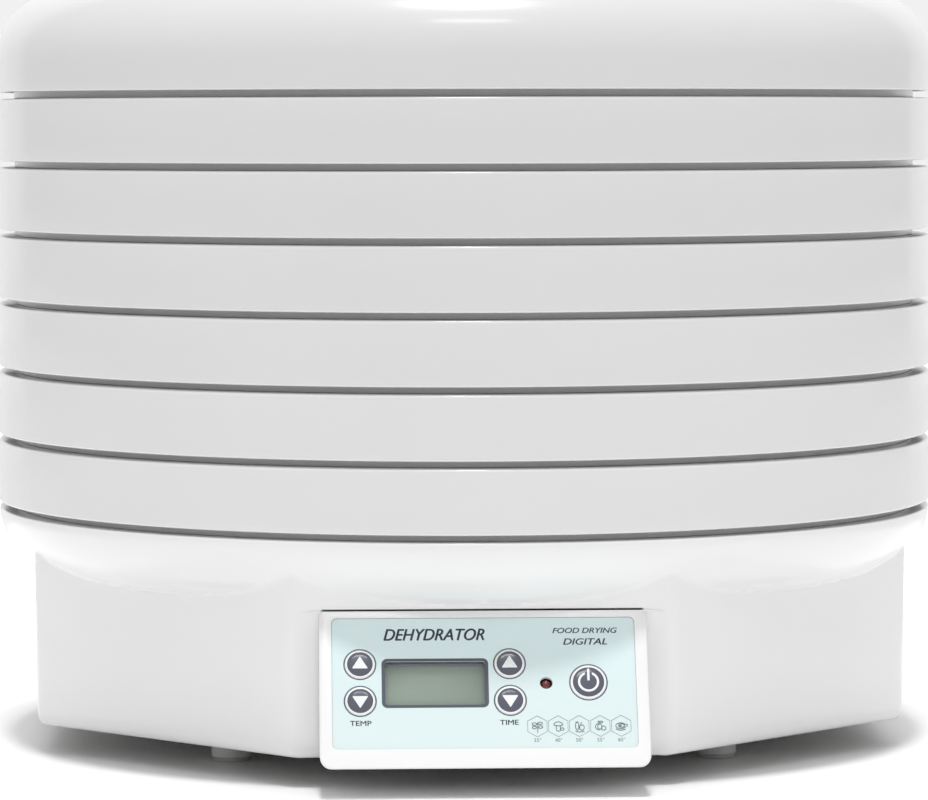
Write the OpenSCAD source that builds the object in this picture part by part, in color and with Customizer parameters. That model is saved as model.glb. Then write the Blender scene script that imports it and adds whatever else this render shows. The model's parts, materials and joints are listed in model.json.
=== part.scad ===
// Food dehydrator: an eight-sided fan-and-heater base with a sloping control console,
// six stacked drying trays and a round-shouldered lid.
// Millimetres, +Z up. The origin is on the floor under the axis of the stack, and the
// control console faces -Y.

/* [Stack] */
// Outside diameter of the trays, the lid and the rim of the base
stack_d = 394; // [392:0.5:396]
// Height that each tray adds to the stack
tray_pitch = 28.5; // [27:0.5:34]
// Height of the shadow gap between two outer bands
gap_h = 2.8; // [2:0.2:4]
// How far the wall behind the shadow gap is set in from the outer band
gap_depth = 7.3; // [7:0.1:7.6]
// Diameter of the air hole in the middle of each tray
tray_hole_d = 76; // [70:1:80]
// Number of radial spokes in a tray floor
tray_spokes = 24; // [16:4:32]

/* [Lid] */
// Height of the lid above the flange that it rests on
lid_h = 44.5; // [40:0.5:50]
// Radius of the lid's shoulder
lid_round = 28; // [24:0.5:30]

/* [Base] */
// Height of the base's rim above the floor
base_h = 96.7; // [96:0.1:98]
// Distance across two opposite flat walls of the base
flats = 357.6; // [356:0.2:360]
// Radius of the bowl that swells from the walls up to the rim
bowl_r = 30; // [29:0.5:31]
// Height of the feet
foot_h = 11.5; // [10:0.5:12]
// Diameter of a foot
foot_d = 16; // [14:0.5:18]

/* [Console] */
// Width of the control console
console_w = 127; // [126:0.5:128]
// Height of the console above the bottom edge of the base
console_h = 58; // [57:0.5:59]
// Slope of the control panel from upright, in degrees
panel_tilt = 28; // [26:0.5:29]
// Width of the mint label
label_w = 117; // [116:0.5:118]
// Length of the mint label down the slope
label_h = 53.6; // [53:0.2:54]
// How far a key travels when it is pressed
key_travel = 0.4; // [0.2:0.1:0.5]

/* [Fan and heater] */
// Diameter of the impeller
fan_d = 148; // [140:1:150]
// Number of impeller blades
fan_blades = 16; // [12:1:20]
// Diameter of the heater ring
heater_d = 210; // [200:2:220]

/* [Hidden] */
$fn = 96;

// Stack
stack_r = stack_d / 2;
tray_count = 6;
wall = 2.2;
flange_t = 1.8;
duct_r = stack_r - gap_depth;
lip_gap = 0.3;
lip_t = 2;
lip_r = duct_r - wall - lip_gap;
lip_h = 1.8;
basket_r = 170;
basket_top = tray_pitch - 4.5;
floor_z = 4;
floor_t = 2.4;
tray_hole_r = tray_hole_d / 2;
hole_collar = 3;
floor_rings = 8;
rib_w = 1.6;
spoke_w = 2;
web_count = 12;

// Base
shell = 3;
apothem = flats / 2;
bowl_centre_r = stack_r - bowl_r;
bowl_centre_z = base_h + 2.2;
cover_t = 2.5;
cover_z = foot_h + 1.5;
cover_top = cover_z + cover_t;
cover_fit = 0.4;
screw_shank_r = 1.4;
screw_slack = 0.06;
vertex_boss_r = 5;
vertex_boss_at = 185.5;
foot_at = 98.5;
pad_t = 1.5;
intake_r = 62;
console_opening = [105, 47, 16];
console_screw_x = 57;
console_screw_z = [20, 56];
gland_at = [57, 32];
gland_body = [13.6, 11.6];
gland_bore_r = 3.6;

// Deck and air path
deck_z = 88;
deck_t = 2.5;
deck_hole_r = 52;
deck_boss_r = 4;
deck_boss_at = 178;
deck_boss_count = 6;
plate_z = 58;
plate_t = 1;
plate_r = 168;
plate_hole_r = 56;
plate_post_r = 4.5;
plate_posts = [[150, 0], [-150, 0], [75, 130], [-75, 130], [75, -130], [-75, -130]];

// Motor
grommet_z = 24;
grommet_t = 4;
bracket_z = grommet_z + grommet_t;
bracket_t = 1.5;
mount_at = 72;
motor_z = bracket_z + bracket_t;
end_h = 7;
stator_h = 18;
stator_z = motor_z + end_h;
stator_bore_r = 15.6;
rotor_r = 15;
shaft_r = 3;
bush_gap = 0.05;
bush_r = 7;
shaft_top = 84.5;
fan_z = 62.5;
fan_h = 21;
fan_r = fan_d / 2;
hub_r = 11;

// Heater
heater_r = heater_d / 2;
coil_r = 4;
coil_z = [66, 77];
insulator = [6, 15, 25];
insulator_count = 8;

// Control panel, measured on the slope: u to the right, v down from the top edge
panel_top_z = foot_h + console_h;
panel_l = console_h / cos(panel_tilt);
panel_skin = 2.5;
label_v = 30.5;
label_t = 0.5;
label_recess = 1;
key_r = 5.85;
power_key_r = 6.95;
key_fit = 0.2;
keys = [[-47.8, 22.6], [-47.8, 37.7], [9.9, 22.6], [9.9, 37.7]];
power_key = [40.2, 30.5];
key_proud = 0.5;
key_flange_t = 1;
switch_h = 3.4;
switch_side = 6;
lcd_at = [-18.9, 30.5];
lcd_opening = [38.8, 17.6];
led_at = [23.9, 30.6];
led_r = 2.2;
board_w = -9;
board_t = 1.6;
board = [103, 46];
board_v = 33;
board_screw_at = [47, 20.3];

function tray_z(n) = base_h + (tray_count - n) * tray_pitch;
lid_z = tray_z(0);

module ring(r_out, r_in, z0, z1) {
    rotate_extrude()
        translate([r_in, z0])
            square([r_out - r_in, z1 - z0]);
}

// Children repeated n times about the stack's axis, the first at angle a0
module around(n, a0 = 0) {
    for (i = [0 : n - 1])
        rotate([0, 0, a0 + i * 360 / n])
            children();
}

module octagon(a, z0, z1) {
    translate([0, 0, z0])
        rotate([0, 0, 22.5])
            cylinder(r = a / cos(22.5), h = z1 - z0, $fn = 8);
}

// A round-headed screw with its head's underside at the origin, its shank towards -Z
module screw(shank_l, shank_r = screw_shank_r) {
    head_r = shank_r * 2;
    head_h = shank_r * 1.3;
    difference() {
        union() {
            cylinder(r = head_r, h = head_h);
            translate([0, 0, -shank_l])
                cylinder(r = shank_r, h = shank_l + 0.1);
        }
        for (a = [0, 90])
            rotate([0, 0, a])
                translate([-head_r * 0.6, -0.35, head_h * 0.4])
                    cube([head_r * 1.2, 0.7, head_h]);
    }
}

// ---- Lid ----------------------------------------------------------------------------

// Half section of the lid's outer shape, set in by a thickness
module lid_outline(inset) {
    flat_r = stack_r - lid_round;
    square([flat_r, lid_h - inset]);
    square([stack_r - inset, lid_h - lid_round]);
    translate([flat_r, lid_h - lid_round])
        circle(r = lid_round - inset);
}

module lid() {
    dish_r = 134;
    dish_depth = 1.2;
    rib_count = 8;
    rib_h = 5;
    skirt_top = 34.5;
    color("white") translate([0, 0, lid_z]) {
        difference() {
            union() {
                rotate_extrude()
                    difference() {
                        lid_outline(0);
                        lid_outline(wall + 0.3);
                        translate([0, -lid_round])
                            square([stack_r + 1, lid_round + gap_h]);
                    }
                ring(duct_r, duct_r - wall, 0, skirt_top);
                around(rib_count)
                    translate([30, -rib_w / 2, lid_h - wall - rib_h])
                        cube([125, rib_w, rib_h]);
            }
            translate([0, 0, lid_h - dish_depth])
                cylinder(r = dish_r, h = dish_depth + 1);
        }
    }
}

// ---- Trays --------------------------------------------------------------------------

// Outer band, top flange, set-in duct wall and locating lip, in half section
module tray_rim_section() {
    translate([stack_r - wall, gap_h])
        square([wall, tray_pitch - gap_h]);
    translate([lip_r - lip_t, tray_pitch - flange_t])
        square([stack_r - lip_r + lip_t, flange_t]);
    translate([duct_r - wall, 0])
        square([wall, tray_pitch]);
    translate([lip_r - lip_t, tray_pitch - flange_t])
        square([lip_t, flange_t + lip_h]);
}

// The open floor: a collar, concentric ribs and radial spokes
module tray_floor_outline() {
    floor_out = basket_r - wall / 2;
    rib_step = (floor_out - tray_hole_r) / floor_rings;
    difference() {
        circle(r = tray_hole_r + hole_collar);
        circle(r = tray_hole_r);
    }
    for (i = [1 : floor_rings - 1])
        difference() {
            circle(r = tray_hole_r + i * rib_step + rib_w / 2);
            circle(r = tray_hole_r + i * rib_step - rib_w / 2);
        }
    for (i = [0 : tray_spokes - 1])
        rotate([0, 0, i * 360 / tray_spokes])
            translate([tray_hole_r + hole_collar / 2, -spoke_w / 2])
                square([floor_out - tray_hole_r - hole_collar / 2, spoke_w]);
}

module tray(n) {
    web_h = 14;
    color("white") translate([0, 0, tray_z(n)]) {
        rotate_extrude()
            tray_rim_section();
        ring(basket_r, basket_r - wall, floor_z, basket_top);
        translate([0, 0, floor_z])
            linear_extrude(height = floor_t)
                tray_floor_outline();
        around(web_count, 7.5)
            translate([basket_r - wall / 2, -1, floor_z])
                cube([duct_r - basket_r, 2, web_h]);
    }
}

// ---- Base shells --------------------------------------------------------------------

// Half section of the bowl under the rim, at radius r about the bowl's centre
module bowl_section(r, top) {
    low = bowl_centre_z - r;
    intersection() {
        translate([0, low])
            square([stack_r + 1, top - low]);
        union() {
            translate([0, low])
                square([bowl_centre_r, 2 * r]);
            translate([bowl_centre_r, bowl_centre_z])
                circle(r = r);
        }
    }
}

module base_housing() {
    rim_t = 3;
    groove = [3.2, 1.2, 0.8];
    pilot_r = screw_shank_r + screw_slack;
    color("whitesmoke") difference() {
        union() {
            difference() {
                union() {
                    rotate_extrude()
                        bowl_section(bowl_r, base_h);
                    octagon(apothem, foot_h, base_h - 7);
                }
                rotate_extrude()
                    bowl_section(bowl_r - shell, base_h - rim_t);
                octagon(apothem - shell, foot_h - 1, base_h - 9);
                translate([0, 0, base_h - rim_t - 1])
                    cylinder(r = lip_r - lip_t, h = rim_t + 2);
            }
            ring(lip_r, lip_r - lip_t, base_h - rim_t, base_h + lip_h);
            around(8, 22.5)
                translate([vertex_boss_at, 0, cover_top])
                    cylinder(r = vertex_boss_r, h = 22);
            around(deck_boss_count, 30)
                translate([deck_boss_at, 0, deck_z - 16])
                    cylinder(r = deck_boss_r, h = 16);
        }
        ring(stack_r - groove[0] + groove[1], stack_r - groove[0], base_h - groove[2],
            base_h + 1);
        around(8, 22.5)
            translate([vertex_boss_at, 0, cover_top - 1])
                cylinder(r = pilot_r, h = 17);
        around(deck_boss_count, 30)
            translate([deck_boss_at, 0, deck_z - 11])
                cylinder(r = pilot_r, h = 12);
        translate([-console_opening[0] / 2, -apothem - 1, console_opening[2]])
            cube([console_opening[0], shell + 2, console_opening[1]]);
        for (x = [-console_screw_x, console_screw_x], z = console_screw_z)
            translate([x, -apothem - 1, z])
                rotate([-90, 0, 0])
                    cylinder(r = 1.8, h = shell + 2);
        translate([gland_at[0] - gland_body[0] / 2, apothem - shell - 1,
            gland_at[1] - gland_body[1] / 2])
            cube([gland_body[0], shell + 2, gland_body[1]]);
    }
}

module bottom_cover() {
    guard_rings = 5;
    guard_step = 10;
    guard_w = 3;
    color("gainsboro") difference() {
        union() {
            difference() {
                octagon(apothem - shell - cover_fit, cover_z, cover_top);
                translate([0, 0, cover_z - 1])
                    cylinder(r = intake_r, h = cover_t + 2);
            }
            translate([0, 0, cover_z])
                linear_extrude(height = cover_t) {
                    circle(r = guard_step);
                    for (i = [2 : guard_rings])
                        difference() {
                            circle(r = i * guard_step + guard_w / 2);
                            circle(r = i * guard_step - guard_w / 2);
                        }
                    for (i = [0 : 7])
                        rotate([0, 0, i * 45])
                            translate([guard_step - 1, -guard_w / 2])
                                square([intake_r - guard_step + 2, guard_w]);
                }
            around(4, 45)
                translate([mount_at, 0, cover_top - 0.5])
                    cylinder(r = 5, h = grommet_z - cover_top + 0.5);
            for (p = plate_posts)
                translate([p[0], p[1], cover_top - 0.5])
                    cylinder(r = plate_post_r, h = plate_z - cover_top + 0.5);
            for (x = [-34, 34], y = [106, 144])
                translate([x, y, cover_top - 0.5])
                    cylinder(r = 3.5, h = 7);
        }
        around(8, 22.5)
            translate([vertex_boss_at, 0, cover_z - 1])
                cylinder(r = 1.7, h = cover_t + 2);
        for (x = [-foot_at, foot_at], y = [-foot_at, foot_at])
            translate([x, y, cover_z - 1])
                cylinder(r = 1.9, h = cover_t + 2);
        around(4, 45)
            translate([mount_at, 0, cover_top + 1])
                cylinder(r = screw_shank_r + screw_slack, h = grommet_z);
        for (p = plate_posts)
            translate([p[0], p[1], plate_z - 10])
                cylinder(r = screw_shank_r + screw_slack, h = 11);
    }
}

module cover_screws() {
    color("silver") around(8, 22.5)
        translate([vertex_boss_at, 0, cover_z])
            mirror([0, 0, 1])
                screw(14);
}

// ---- Feet ---------------------------------------------------------------------------

module at_feet() {
    for (x = [-foot_at, foot_at], y = [-foot_at, foot_at])
        translate([x, y, 0])
            children();
}

module feet() {
    color("gainsboro") at_feet()
        difference() {
            translate([0, 0, pad_t])
                cylinder(r = foot_d / 2, h = cover_z - pad_t);
            translate([0, 0, 4])
                cylinder(r = 1.75 + screw_slack, h = cover_z);
        }
}

module foot_pads() {
    color("lightgray") at_feet()
        cylinder(r = foot_d / 2 - 0.5, h = pad_t);
}

module foot_screws() {
    color("silver") at_feet()
        translate([0, 0, cover_top])
            screw(10, 1.75);
}

// ---- Mains entry and power electronics ----------------------------------------------

module cord_gland() {
    flange = [20, 3, 18];
    inner_l = 11;
    color("darkgray") translate([gland_at[0], apothem, gland_at[1]])
        difference() {
            union() {
                translate([-flange[0] / 2, 0, -flange[2] / 2])
                    cube(flange);
                translate([-gland_body[0] / 2, -inner_l, -gland_body[1] / 2])
                    cube([gland_body[0], inner_l + 1, gland_body[1]]);
            }
            translate([0, -inner_l - 1, 0])
                rotate([-90, 0, 0])
                    cylinder(r = gland_bore_r, h = inner_l + flange[1] + 2);
        }
}

module terminal_block() {
    block = [30, 14, 13];
    color("ivory") translate([gland_at[0] - block[0] / 2, 146, cover_top])
        difference() {
            cube(block);
            for (i = [0 : 2])
                translate([5 + i * 10, block[1] / 2, 4])
                    cylinder(r = 2.2, h = block[2]);
        }
}

module power_board() {
    color("darkgreen") difference() {
        translate([-40, 100, cover_top + 6.5])
            cube([80, 50, board_t]);
        for (x = [-34, 34], y = [106, 144])
            translate([x, y, cover_top])
                cylinder(r = 1.6, h = 20);
    }
}

module power_parts() {
    top = cover_top + 6.5 + board_t;
    color("steelblue") translate([-30, 126, top])
        cube([19, 15, 15]);
    color("gold") translate([4, 130, top])
        cube([18, 9, 12]);
    color("black") translate([-8, 104, top])
        cylinder(r = 6.5, h = 20);
    color("dimgray") translate([14, 111.5, top])
        cube([10, 4.4, 15]);
}

module heat_sink() {
    top = cover_top + 6.5 + board_t;
    fins = 6;
    color("silver") translate([6, 102, top])
        linear_extrude(height = 24) {
            translate([0, 7])
                square([26, 2.4]);
            for (i = [0 : fins - 1])
                translate([i * (26 - 1.4) / (fins - 1), 0])
                    square([1.4, 7.5]);
        }
}

// ---- Motor --------------------------------------------------------------------------

module motor_bracket() {
    color("silver") difference() {
        translate([0, 0, bracket_z])
            linear_extrude(height = bracket_t) {
                circle(r = 30);
                for (i = [0 : 3])
                    rotate([0, 0, 45 + i * 90]) {
                        translate([20, -7])
                            square([mount_at - 20, 14]);
                        translate([mount_at, 0])
                            circle(r = 7);
                    }
            }
        translate([0, 0, bracket_z - 1])
            cylinder(r = 8.5, h = 4);
        around(4, 45)
            translate([mount_at, 0, bracket_z - 1])
                cylinder(r = 1.6, h = 4);
    }
}

module motor_grommets() {
    color("black") around(4, 45)
        translate([mount_at, 0, 0])
            ring(6, 2, grommet_z, bracket_z);
}

// An end frame: a plate on two legs, with a cup that holds the shaft's bush
module motor_end(z, up) {
    plate_side = up ? z + end_h - 2 : z;
    cup_side = up ? z + end_h - 5 : z;
    difference() {
        union() {
            translate([-30, -9, plate_side])
                cube([60, 18, 2]);
            for (s = [-1, 1])
                translate([s * 27 - 3, -9, z])
                    cube([6, 18, end_h]);
            translate([0, 0, cup_side])
                cylinder(r = bush_r + 2, h = 5);
        }
        translate([0, 0, z - 1])
            cylinder(r = bush_r, h = end_h + 2);
    }
}

module motor_end_lower() {
    color("gray") motor_end(motor_z, false);
}

module motor_end_upper() {
    color("gray") motor_end(stator_z + stator_h, true);
}

module motor_stator() {
    color("slategray") difference() {
        translate([0, 0, stator_z])
            linear_extrude(height = stator_h)
                intersection() {
                    square([66, 56], center = true);
                    circle(r = 38);
                }
        translate([0, 0, stator_z - 1])
            cylinder(r = stator_bore_r, h = stator_h + 2);
    }
}

module motor_windings() {
    coil_h = 4.7;
    color("peru") {
        ring(22.5, 16.5, stator_z - coil_h, stator_z);
        ring(22.5, 16.5, stator_z + stator_h, stator_z + stator_h + coil_h);
    }
}

module motor_bushes() {
    color("goldenrod") {
        ring(bush_r, shaft_r + bush_gap, motor_z, motor_z + 5);
        ring(bush_r, shaft_r + bush_gap, stator_z + stator_h + end_h - 5,
            stator_z + stator_h + end_h);
    }
}

module rotor_shaft() {
    color("silver") {
        translate([0, 0, motor_z - 3])
            cylinder(r = shaft_r, h = shaft_top - motor_z + 3);
        translate([0, 0, stator_z])
            cylinder(r = rotor_r, h = stator_h);
    }
}

// ---- Fan ----------------------------------------------------------------------------

// One backward-curved blade between the inlet circle and the rim, in plan
module blade_outline() {
    curve_r = 45;
    curve_centre = [19.1, -36.1];
    curve_side = -62;
    blade_t = 1.4;
    inlet_r = 46;
    intersection() {
        difference() {
            circle(r = fan_r - 1);
            circle(r = inlet_r);
        }
        translate(curve_centre)
            difference() {
                circle(r = curve_r + blade_t / 2);
                circle(r = curve_r - blade_t / 2);
            }
        rotate([0, 0, curve_side])
            square([100, 100]);
    }
}

module fan_impeller() {
    disc_t = 1.6;
    rim_w = 8;
    mid = fan_z + fan_h / 2;
    color("lightgray") difference() {
        union() {
            translate([0, 0, mid - disc_t / 2])
                cylinder(r = fan_r - 2, h = disc_t);
            translate([0, 0, fan_z])
                cylinder(r = hub_r, h = fan_h - 2);
            translate([0, 0, fan_z])
                linear_extrude(height = fan_h)
                    for (i = [0 : fan_blades - 1])
                        rotate([0, 0, i * 360 / fan_blades])
                            blade_outline();
            ring(fan_r, fan_r - rim_w, fan_z, fan_z + disc_t);
            ring(fan_r, fan_r - rim_w, fan_z + fan_h - disc_t, fan_z + fan_h);
        }
        translate([0, 0, fan_z - 1])
            cylinder(r = shaft_r, h = fan_h + 2);
    }
}

module fan_nut() {
    color("silver") difference() {
        translate([0, 0, fan_z + fan_h - 2])
            cylinder(r = 6, h = 3, $fn = 6);
        translate([0, 0, fan_z])
            cylinder(r = shaft_r, h = 40);
    }
}

// ---- Heater -------------------------------------------------------------------------

module heat_plate() {
    color("silver") difference() {
        union() {
            ring(plate_r, plate_hole_r, plate_z, plate_z + plate_t);
            ring(plate_r, plate_r - plate_t, plate_z, plate_z + 7);
            ring(plate_hole_r + plate_t, plate_hole_r, plate_z - 3, plate_z + plate_t);
        }
        for (p = plate_posts)
            translate([p[0], p[1], plate_z - 1])
                cylinder(r = 1.7, h = 4);
        around(1, 142)
            translate([138, 0, plate_z - 1])
                cylinder(r = 3, h = 4);
    }
}

module plate_screws() {
    color("silver") for (p = plate_posts)
        translate([p[0], p[1], plate_z + plate_t])
            screw(9);
}

module heater_insulators() {
    color("linen") around(insulator_count, 11)
        difference() {
            translate([heater_r - insulator[1] / 2, -insulator[0] / 2, plate_z + plate_t])
                cube([insulator[1], insulator[0], insulator[2]]);
            for (z = coil_z)
                translate([heater_r, -insulator[0], z])
                    rotate([-90, 0, 0])
                        cylinder(r = coil_r + 0.5, h = 2 * insulator[0]);
        }
}

// The space that one turn of coiled heater wire fills
module heater_coil(z) {
    color("dimgray") translate([0, 0, z])
        rotate_extrude()
            translate([heater_r, 0])
                circle(r = coil_r);
}

module thermostat() {
    color("silver") rotate([0, 0, 60])
        translate([136, 0, plate_z + plate_t]) {
            cylinder(r = 8, h = 4);
            translate([0, 0, 4])
                cylinder(r = 6.5, h = 3);
            for (s = [-1, 1])
                translate([s * 4 - 0.4, -2, 6.5])
                    cube([0.8, 4, 7]);
        }
}

module thermal_fuse() {
    color("tan") rotate([0, 0, 100])
        translate([132, -8, plate_z + plate_t + 2.5]) {
            rotate([-90, 0, 0])
                cylinder(r = 2, h = 16);
            translate([-3, 6, -2.5])
                cube([6, 4, 2]);
        }
}

module air_sensor() {
    color("black") rotate([0, 0, 142])
        translate([138, 0, plate_z - 6]) {
            cylinder(r = 2.4, h = 20);
            translate([0, 0, 5])
                cylinder(r = 5, h = 1);
            translate([0, 0, 20])
                sphere(r = 2.4);
        }
}

// ---- Deck under the trays -----------------------------------------------------------

module air_deck() {
    tab_w = 11;
    tab_end = deck_boss_at + 5;
    color("white") difference() {
        union() {
            ring(basket_r, deck_hole_r, deck_z, deck_z + deck_t);
            ring(basket_r, basket_r - wall, deck_z, base_h + floor_z - 1);
            ring(deck_hole_r + 2, deck_hole_r, deck_z - 2, deck_z + deck_t);
            around(deck_boss_count, 30)
                translate([basket_r - 1, -tab_w / 2, deck_z])
                    cube([tab_end - basket_r + 1, tab_w, deck_t]);
        }
        around(deck_boss_count, 30)
            translate([deck_boss_at, 0, deck_z - 1])
                cylinder(r = 1.7, h = deck_t + 2);
        around(4)
            translate([62, 0, deck_z - 1])
                cylinder(r = 1.6, h = deck_t + 2);
    }
}

module deck_screws() {
    color("silver") around(deck_boss_count, 30)
        translate([deck_boss_at, 0, deck_z + deck_t])
            screw(11);
}

module fan_guard() {
    guard_z = deck_z + deck_t;
    color("white") {
        translate([0, 0, guard_z])
            linear_extrude(height = 2) {
                difference() {
                    circle(r = 66);
                    circle(r = 50);
                }
                circle(r = 12);
                for (r = [20 : 8 : 44])
                    difference() {
                        circle(r = r + 1);
                        circle(r = r - 1);
                    }
                for (i = [0 : 5])
                    rotate([0, 0, i * 60])
                        translate([10, -1.25])
                            square([42, 2.5]);
            }
        around(4)
            translate([62, 0, deck_z - 1])
                cylinder(r = 1.5, h = deck_t + 2);
    }
}

// ---- Control console ----------------------------------------------------------------

// Children stand on the sloping panel: x to the right, y up the slope, z out of it
module on_panel(at = [0, 0], w = 0) {
    translate([0, -apothem, panel_top_z])
        rotate([90 - panel_tilt, 0, 0])
            translate([at[0], -at[1], w])
                children();
}

// A rectangle with its own corner radius at the top and at the bottom, its top at y = 0
module rounded_plate(w, h, top_r, low_r) {
    translate([-w / 2, -h + low_r])
        square([w, h - low_r - top_r]);
    translate([-w / 2 + top_r, -h / 2])
        square([w - 2 * top_r, h / 2]);
    translate([-w / 2 + low_r, -h])
        square([w - 2 * low_r, h / 2]);
    for (s = [-1, 1]) {
        translate([s * (w / 2 - top_r), -top_r])
            circle(r = top_r);
        translate([s * (w / 2 - low_r), -h + low_r])
            circle(r = low_r);
    }
}

module console_body() {
    intersection() {
        rotate([90, 0, 90])
            linear_extrude(height = console_w, center = true)
                polygon([
                    [-apothem, foot_h], [-apothem, panel_top_z],
                    [-apothem - console_h * tan(panel_tilt), foot_h]
                ]);
        on_panel(w = -60)
            linear_extrude(height = 61)
                rounded_plate(console_w, panel_l, 2, 4.5);
    }
}

module console_hollow() {
    side = 2.5;
    intersection() {
        on_panel([0, 8], -60)
            translate([-console_w / 2 + side, -80, 0])
                cube([console_w - 2 * side, 80, 60 - panel_skin]);
        translate([-console_w / 2, -apothem - 40, foot_h + side])
            cube([console_w, 45, console_h]);
    }
}

// Holes for the keys, the display and the lamp, cut through from one w to another
module panel_holes(w0, w1, grow = 0) {
    for (k = keys)
        on_panel(k, w0)
            cylinder(r = key_r + key_fit + grow, h = w1 - w0);
    on_panel(power_key, w0)
        cylinder(r = power_key_r + key_fit + grow, h = w1 - w0);
    on_panel(led_at, w0)
        cylinder(r = led_r + 0.2, h = w1 - w0);
    on_panel(lcd_at, w0)
        translate([-lcd_opening[0] / 2, -lcd_opening[1] / 2, 0])
            cube([lcd_opening[0], lcd_opening[1], w1 - w0]);
}

module at_board_screws(w) {
    for (x = [-1, 1], y = [-1, 1])
        on_panel([x * board_screw_at[0], board_v + y * board_screw_at[1]], w)
            children();
}

module console() {
    color("whitesmoke") difference() {
        union() {
            difference() {
                console_body();
                console_hollow();
            }
            at_board_screws(board_w)
                cylinder(r = 2.8, h = -board_w - panel_skin + 0.5);
            intersection() {
                console_body();
                for (x = [-console_screw_x, console_screw_x], z = console_screw_z)
                    translate([x, -apothem, z])
                        rotate([90, 0, 0])
                            cylinder(r = 3.2, h = 40);
            }
        }
        on_panel([0, label_v], -label_recess)
            translate([0, label_h / 2 + 0.2, 0])
                linear_extrude(height = 5)
                    rounded_plate(label_w + 0.4, label_h + 0.4, 2.2, 2.2);
        panel_holes(-panel_skin - 1, 1);
        at_board_screws(board_w - 1)
            cylinder(r = 1.1 + screw_slack, h = 6);
        for (x = [-console_screw_x, console_screw_x], i = [0, 1])
            translate([x, -apothem + 1, console_screw_z[i]])
                rotate([90, 0, 0])
                    cylinder(r = screw_shank_r + screw_slack, h = [11, 4.6][i]);
    }
}

module console_screws() {
    lengths = [12, 6.4];
    color("silver") for (x = [-console_screw_x, console_screw_x], i = [0, 1])
        translate([x, -apothem + shell, console_screw_z[i]])
            rotate([-90, 0, 0])
                screw(lengths[i]);
}

module label_sheet() {
    color("paleturquoise") difference() {
        on_panel([0, label_v], -label_recess)
            translate([0, label_h / 2, 0])
                linear_extrude(height = label_t)
                    rounded_plate(label_w, label_h, 2, 2);
        panel_holes(-label_recess - 1, 1);
    }
}

// A key: a disc in the label, a flange behind the panel and a stem into its switch
module key(at, r) {
    back = -panel_skin - 0.1;
    stem_end = board_w + 1.5;
    color("darkslategray") {
        on_panel(at, back - 0.1)
            cylinder(r = r, h = key_proud - label_recess + label_t - back + 0.1);
        on_panel(at, back - key_flange_t)
            cylinder(r = r + 1, h = key_flange_t);
        on_panel(at, stem_end)
            cylinder(r = 1.7, h = back - stem_end);
    }
}

module tact_switches() {
    color("black") for (k = concat(keys, [power_key]))
        difference() {
            on_panel(k, board_w)
                translate([-switch_side / 2, -switch_side / 2, 0])
                    cube([switch_side, switch_side, switch_h]);
            on_panel(k, board_w + 1)
                cylinder(r = 1.9, h = switch_h);
        }
}

module control_board() {
    color("darkgreen") difference() {
        on_panel([0, board_v], board_w - board_t)
            translate([-board[0] / 2, -board[1] / 2, 0])
                cube([board[0], board[1], board_t]);
        at_board_screws(board_w - board_t - 1)
            cylinder(r = 1.4, h = 4);
    }
}

module board_screws() {
    color("silver") at_board_screws(board_w - board_t)
        mirror([0, 0, 1])
            screw(5.5, 1.1);
}

module lcd_carrier() {
    color("dimgray") on_panel(lcd_at, board_w)
        translate([-21, -11, 0])
            cube([42, 22, 1.8]);
}

module lcd_display() {
    color("darkseagreen") on_panel(lcd_at, board_w + 1.8)
        translate([-20.4, -10, 0])
            cube([40.8, 20, 1.2]);
}

module lcd_window() {
    color("azure", 0.4) on_panel(lcd_at, -panel_skin - 0.6)
        translate([-21.2, -10.2, 0])
            cube([42.4, 20.4, 0.6]);
}

module status_led() {
    color("firebrick") {
        on_panel(led_at, board_w)
            cylinder(r = led_r + 0.4, h = 1.2);
        on_panel(led_at, board_w + 1)
            cylinder(r = led_r, h = 4.4);
        on_panel(led_at, board_w + 5.4)
            sphere(r = led_r);
    }
}

// ---- Wiring -------------------------------------------------------------------------

// A bent wire swept as one closed skin through its points, with flat ends
module wire(points, r) {
    sides = 8;
    last = len(points) - 1;
    function unit(v) = v / norm(v);
    function along(i) = unit(points[min(i + 1, last)] - points[max(i - 1, 0)]);
    function side(d) = unit(cross(d, abs(d[2]) > 0.9 ? [1, 0, 0] : [0, 0, 1]));
    function lift(d) = cross(side(d), d);
    rings = [for (i = [0 : last], k = [0 : sides - 1])
        points[i] + r * (cos(k * 360 / sides) * side(along(i))
            + sin(k * 360 / sides) * lift(along(i)))];
    skin = [for (i = [0 : last - 1], k = [0 : sides - 1])
        [i * sides + k, i * sides + (k + 1) % sides,
            (i + 1) * sides + (k + 1) % sides, (i + 1) * sides + k]];
    ends = [[for (k = [sides - 1 : -1 : 0]) k],
        [for (k = [0 : sides - 1]) last * sides + k]];
    polyhedron(rings, concat(skin, ends), convexity = 4);
}

// A point on a curve from a to b that leaves a along da and reaches b along db
function bend(a, da, b, db, t) =
    pow(1 - t, 3) * a + 3 * t * pow(1 - t, 2) * (a + da) + 3 * t * t * (1 - t) * (b + db)
    + pow(t, 3) * b;
function route(a, da, b, db) = [for (i = [0 : 12]) bend(a, da, b, db, i / 12)];

module wiring() {
    block_y = 146;
    color("firebrick") wire(route([55, block_y, 22], [0, -18, 0], [36, 138, 26], [16, 0, 0]), 1.1);
    color("royalblue") wire(route([65, block_y, 20], [0, -30, 0], [36, 112, 26], [22, 0, 0]), 1.1);
    color("gold") wire(route([-36, 112, 26], [-26, 0, 0], [-34, 6, 43], [-24, 22, 0]), 1.1);
    color("black") wire(route([-36, 118, 26], [-50, 0, 0], [-34, -6, 43], [-46, 16, 0]), 1.1);
    color("gray") wire(route([36, 106, 26], [60, -30, 0], [30, -150, 44], [110, 60, 0]), 1.4);
}

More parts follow.
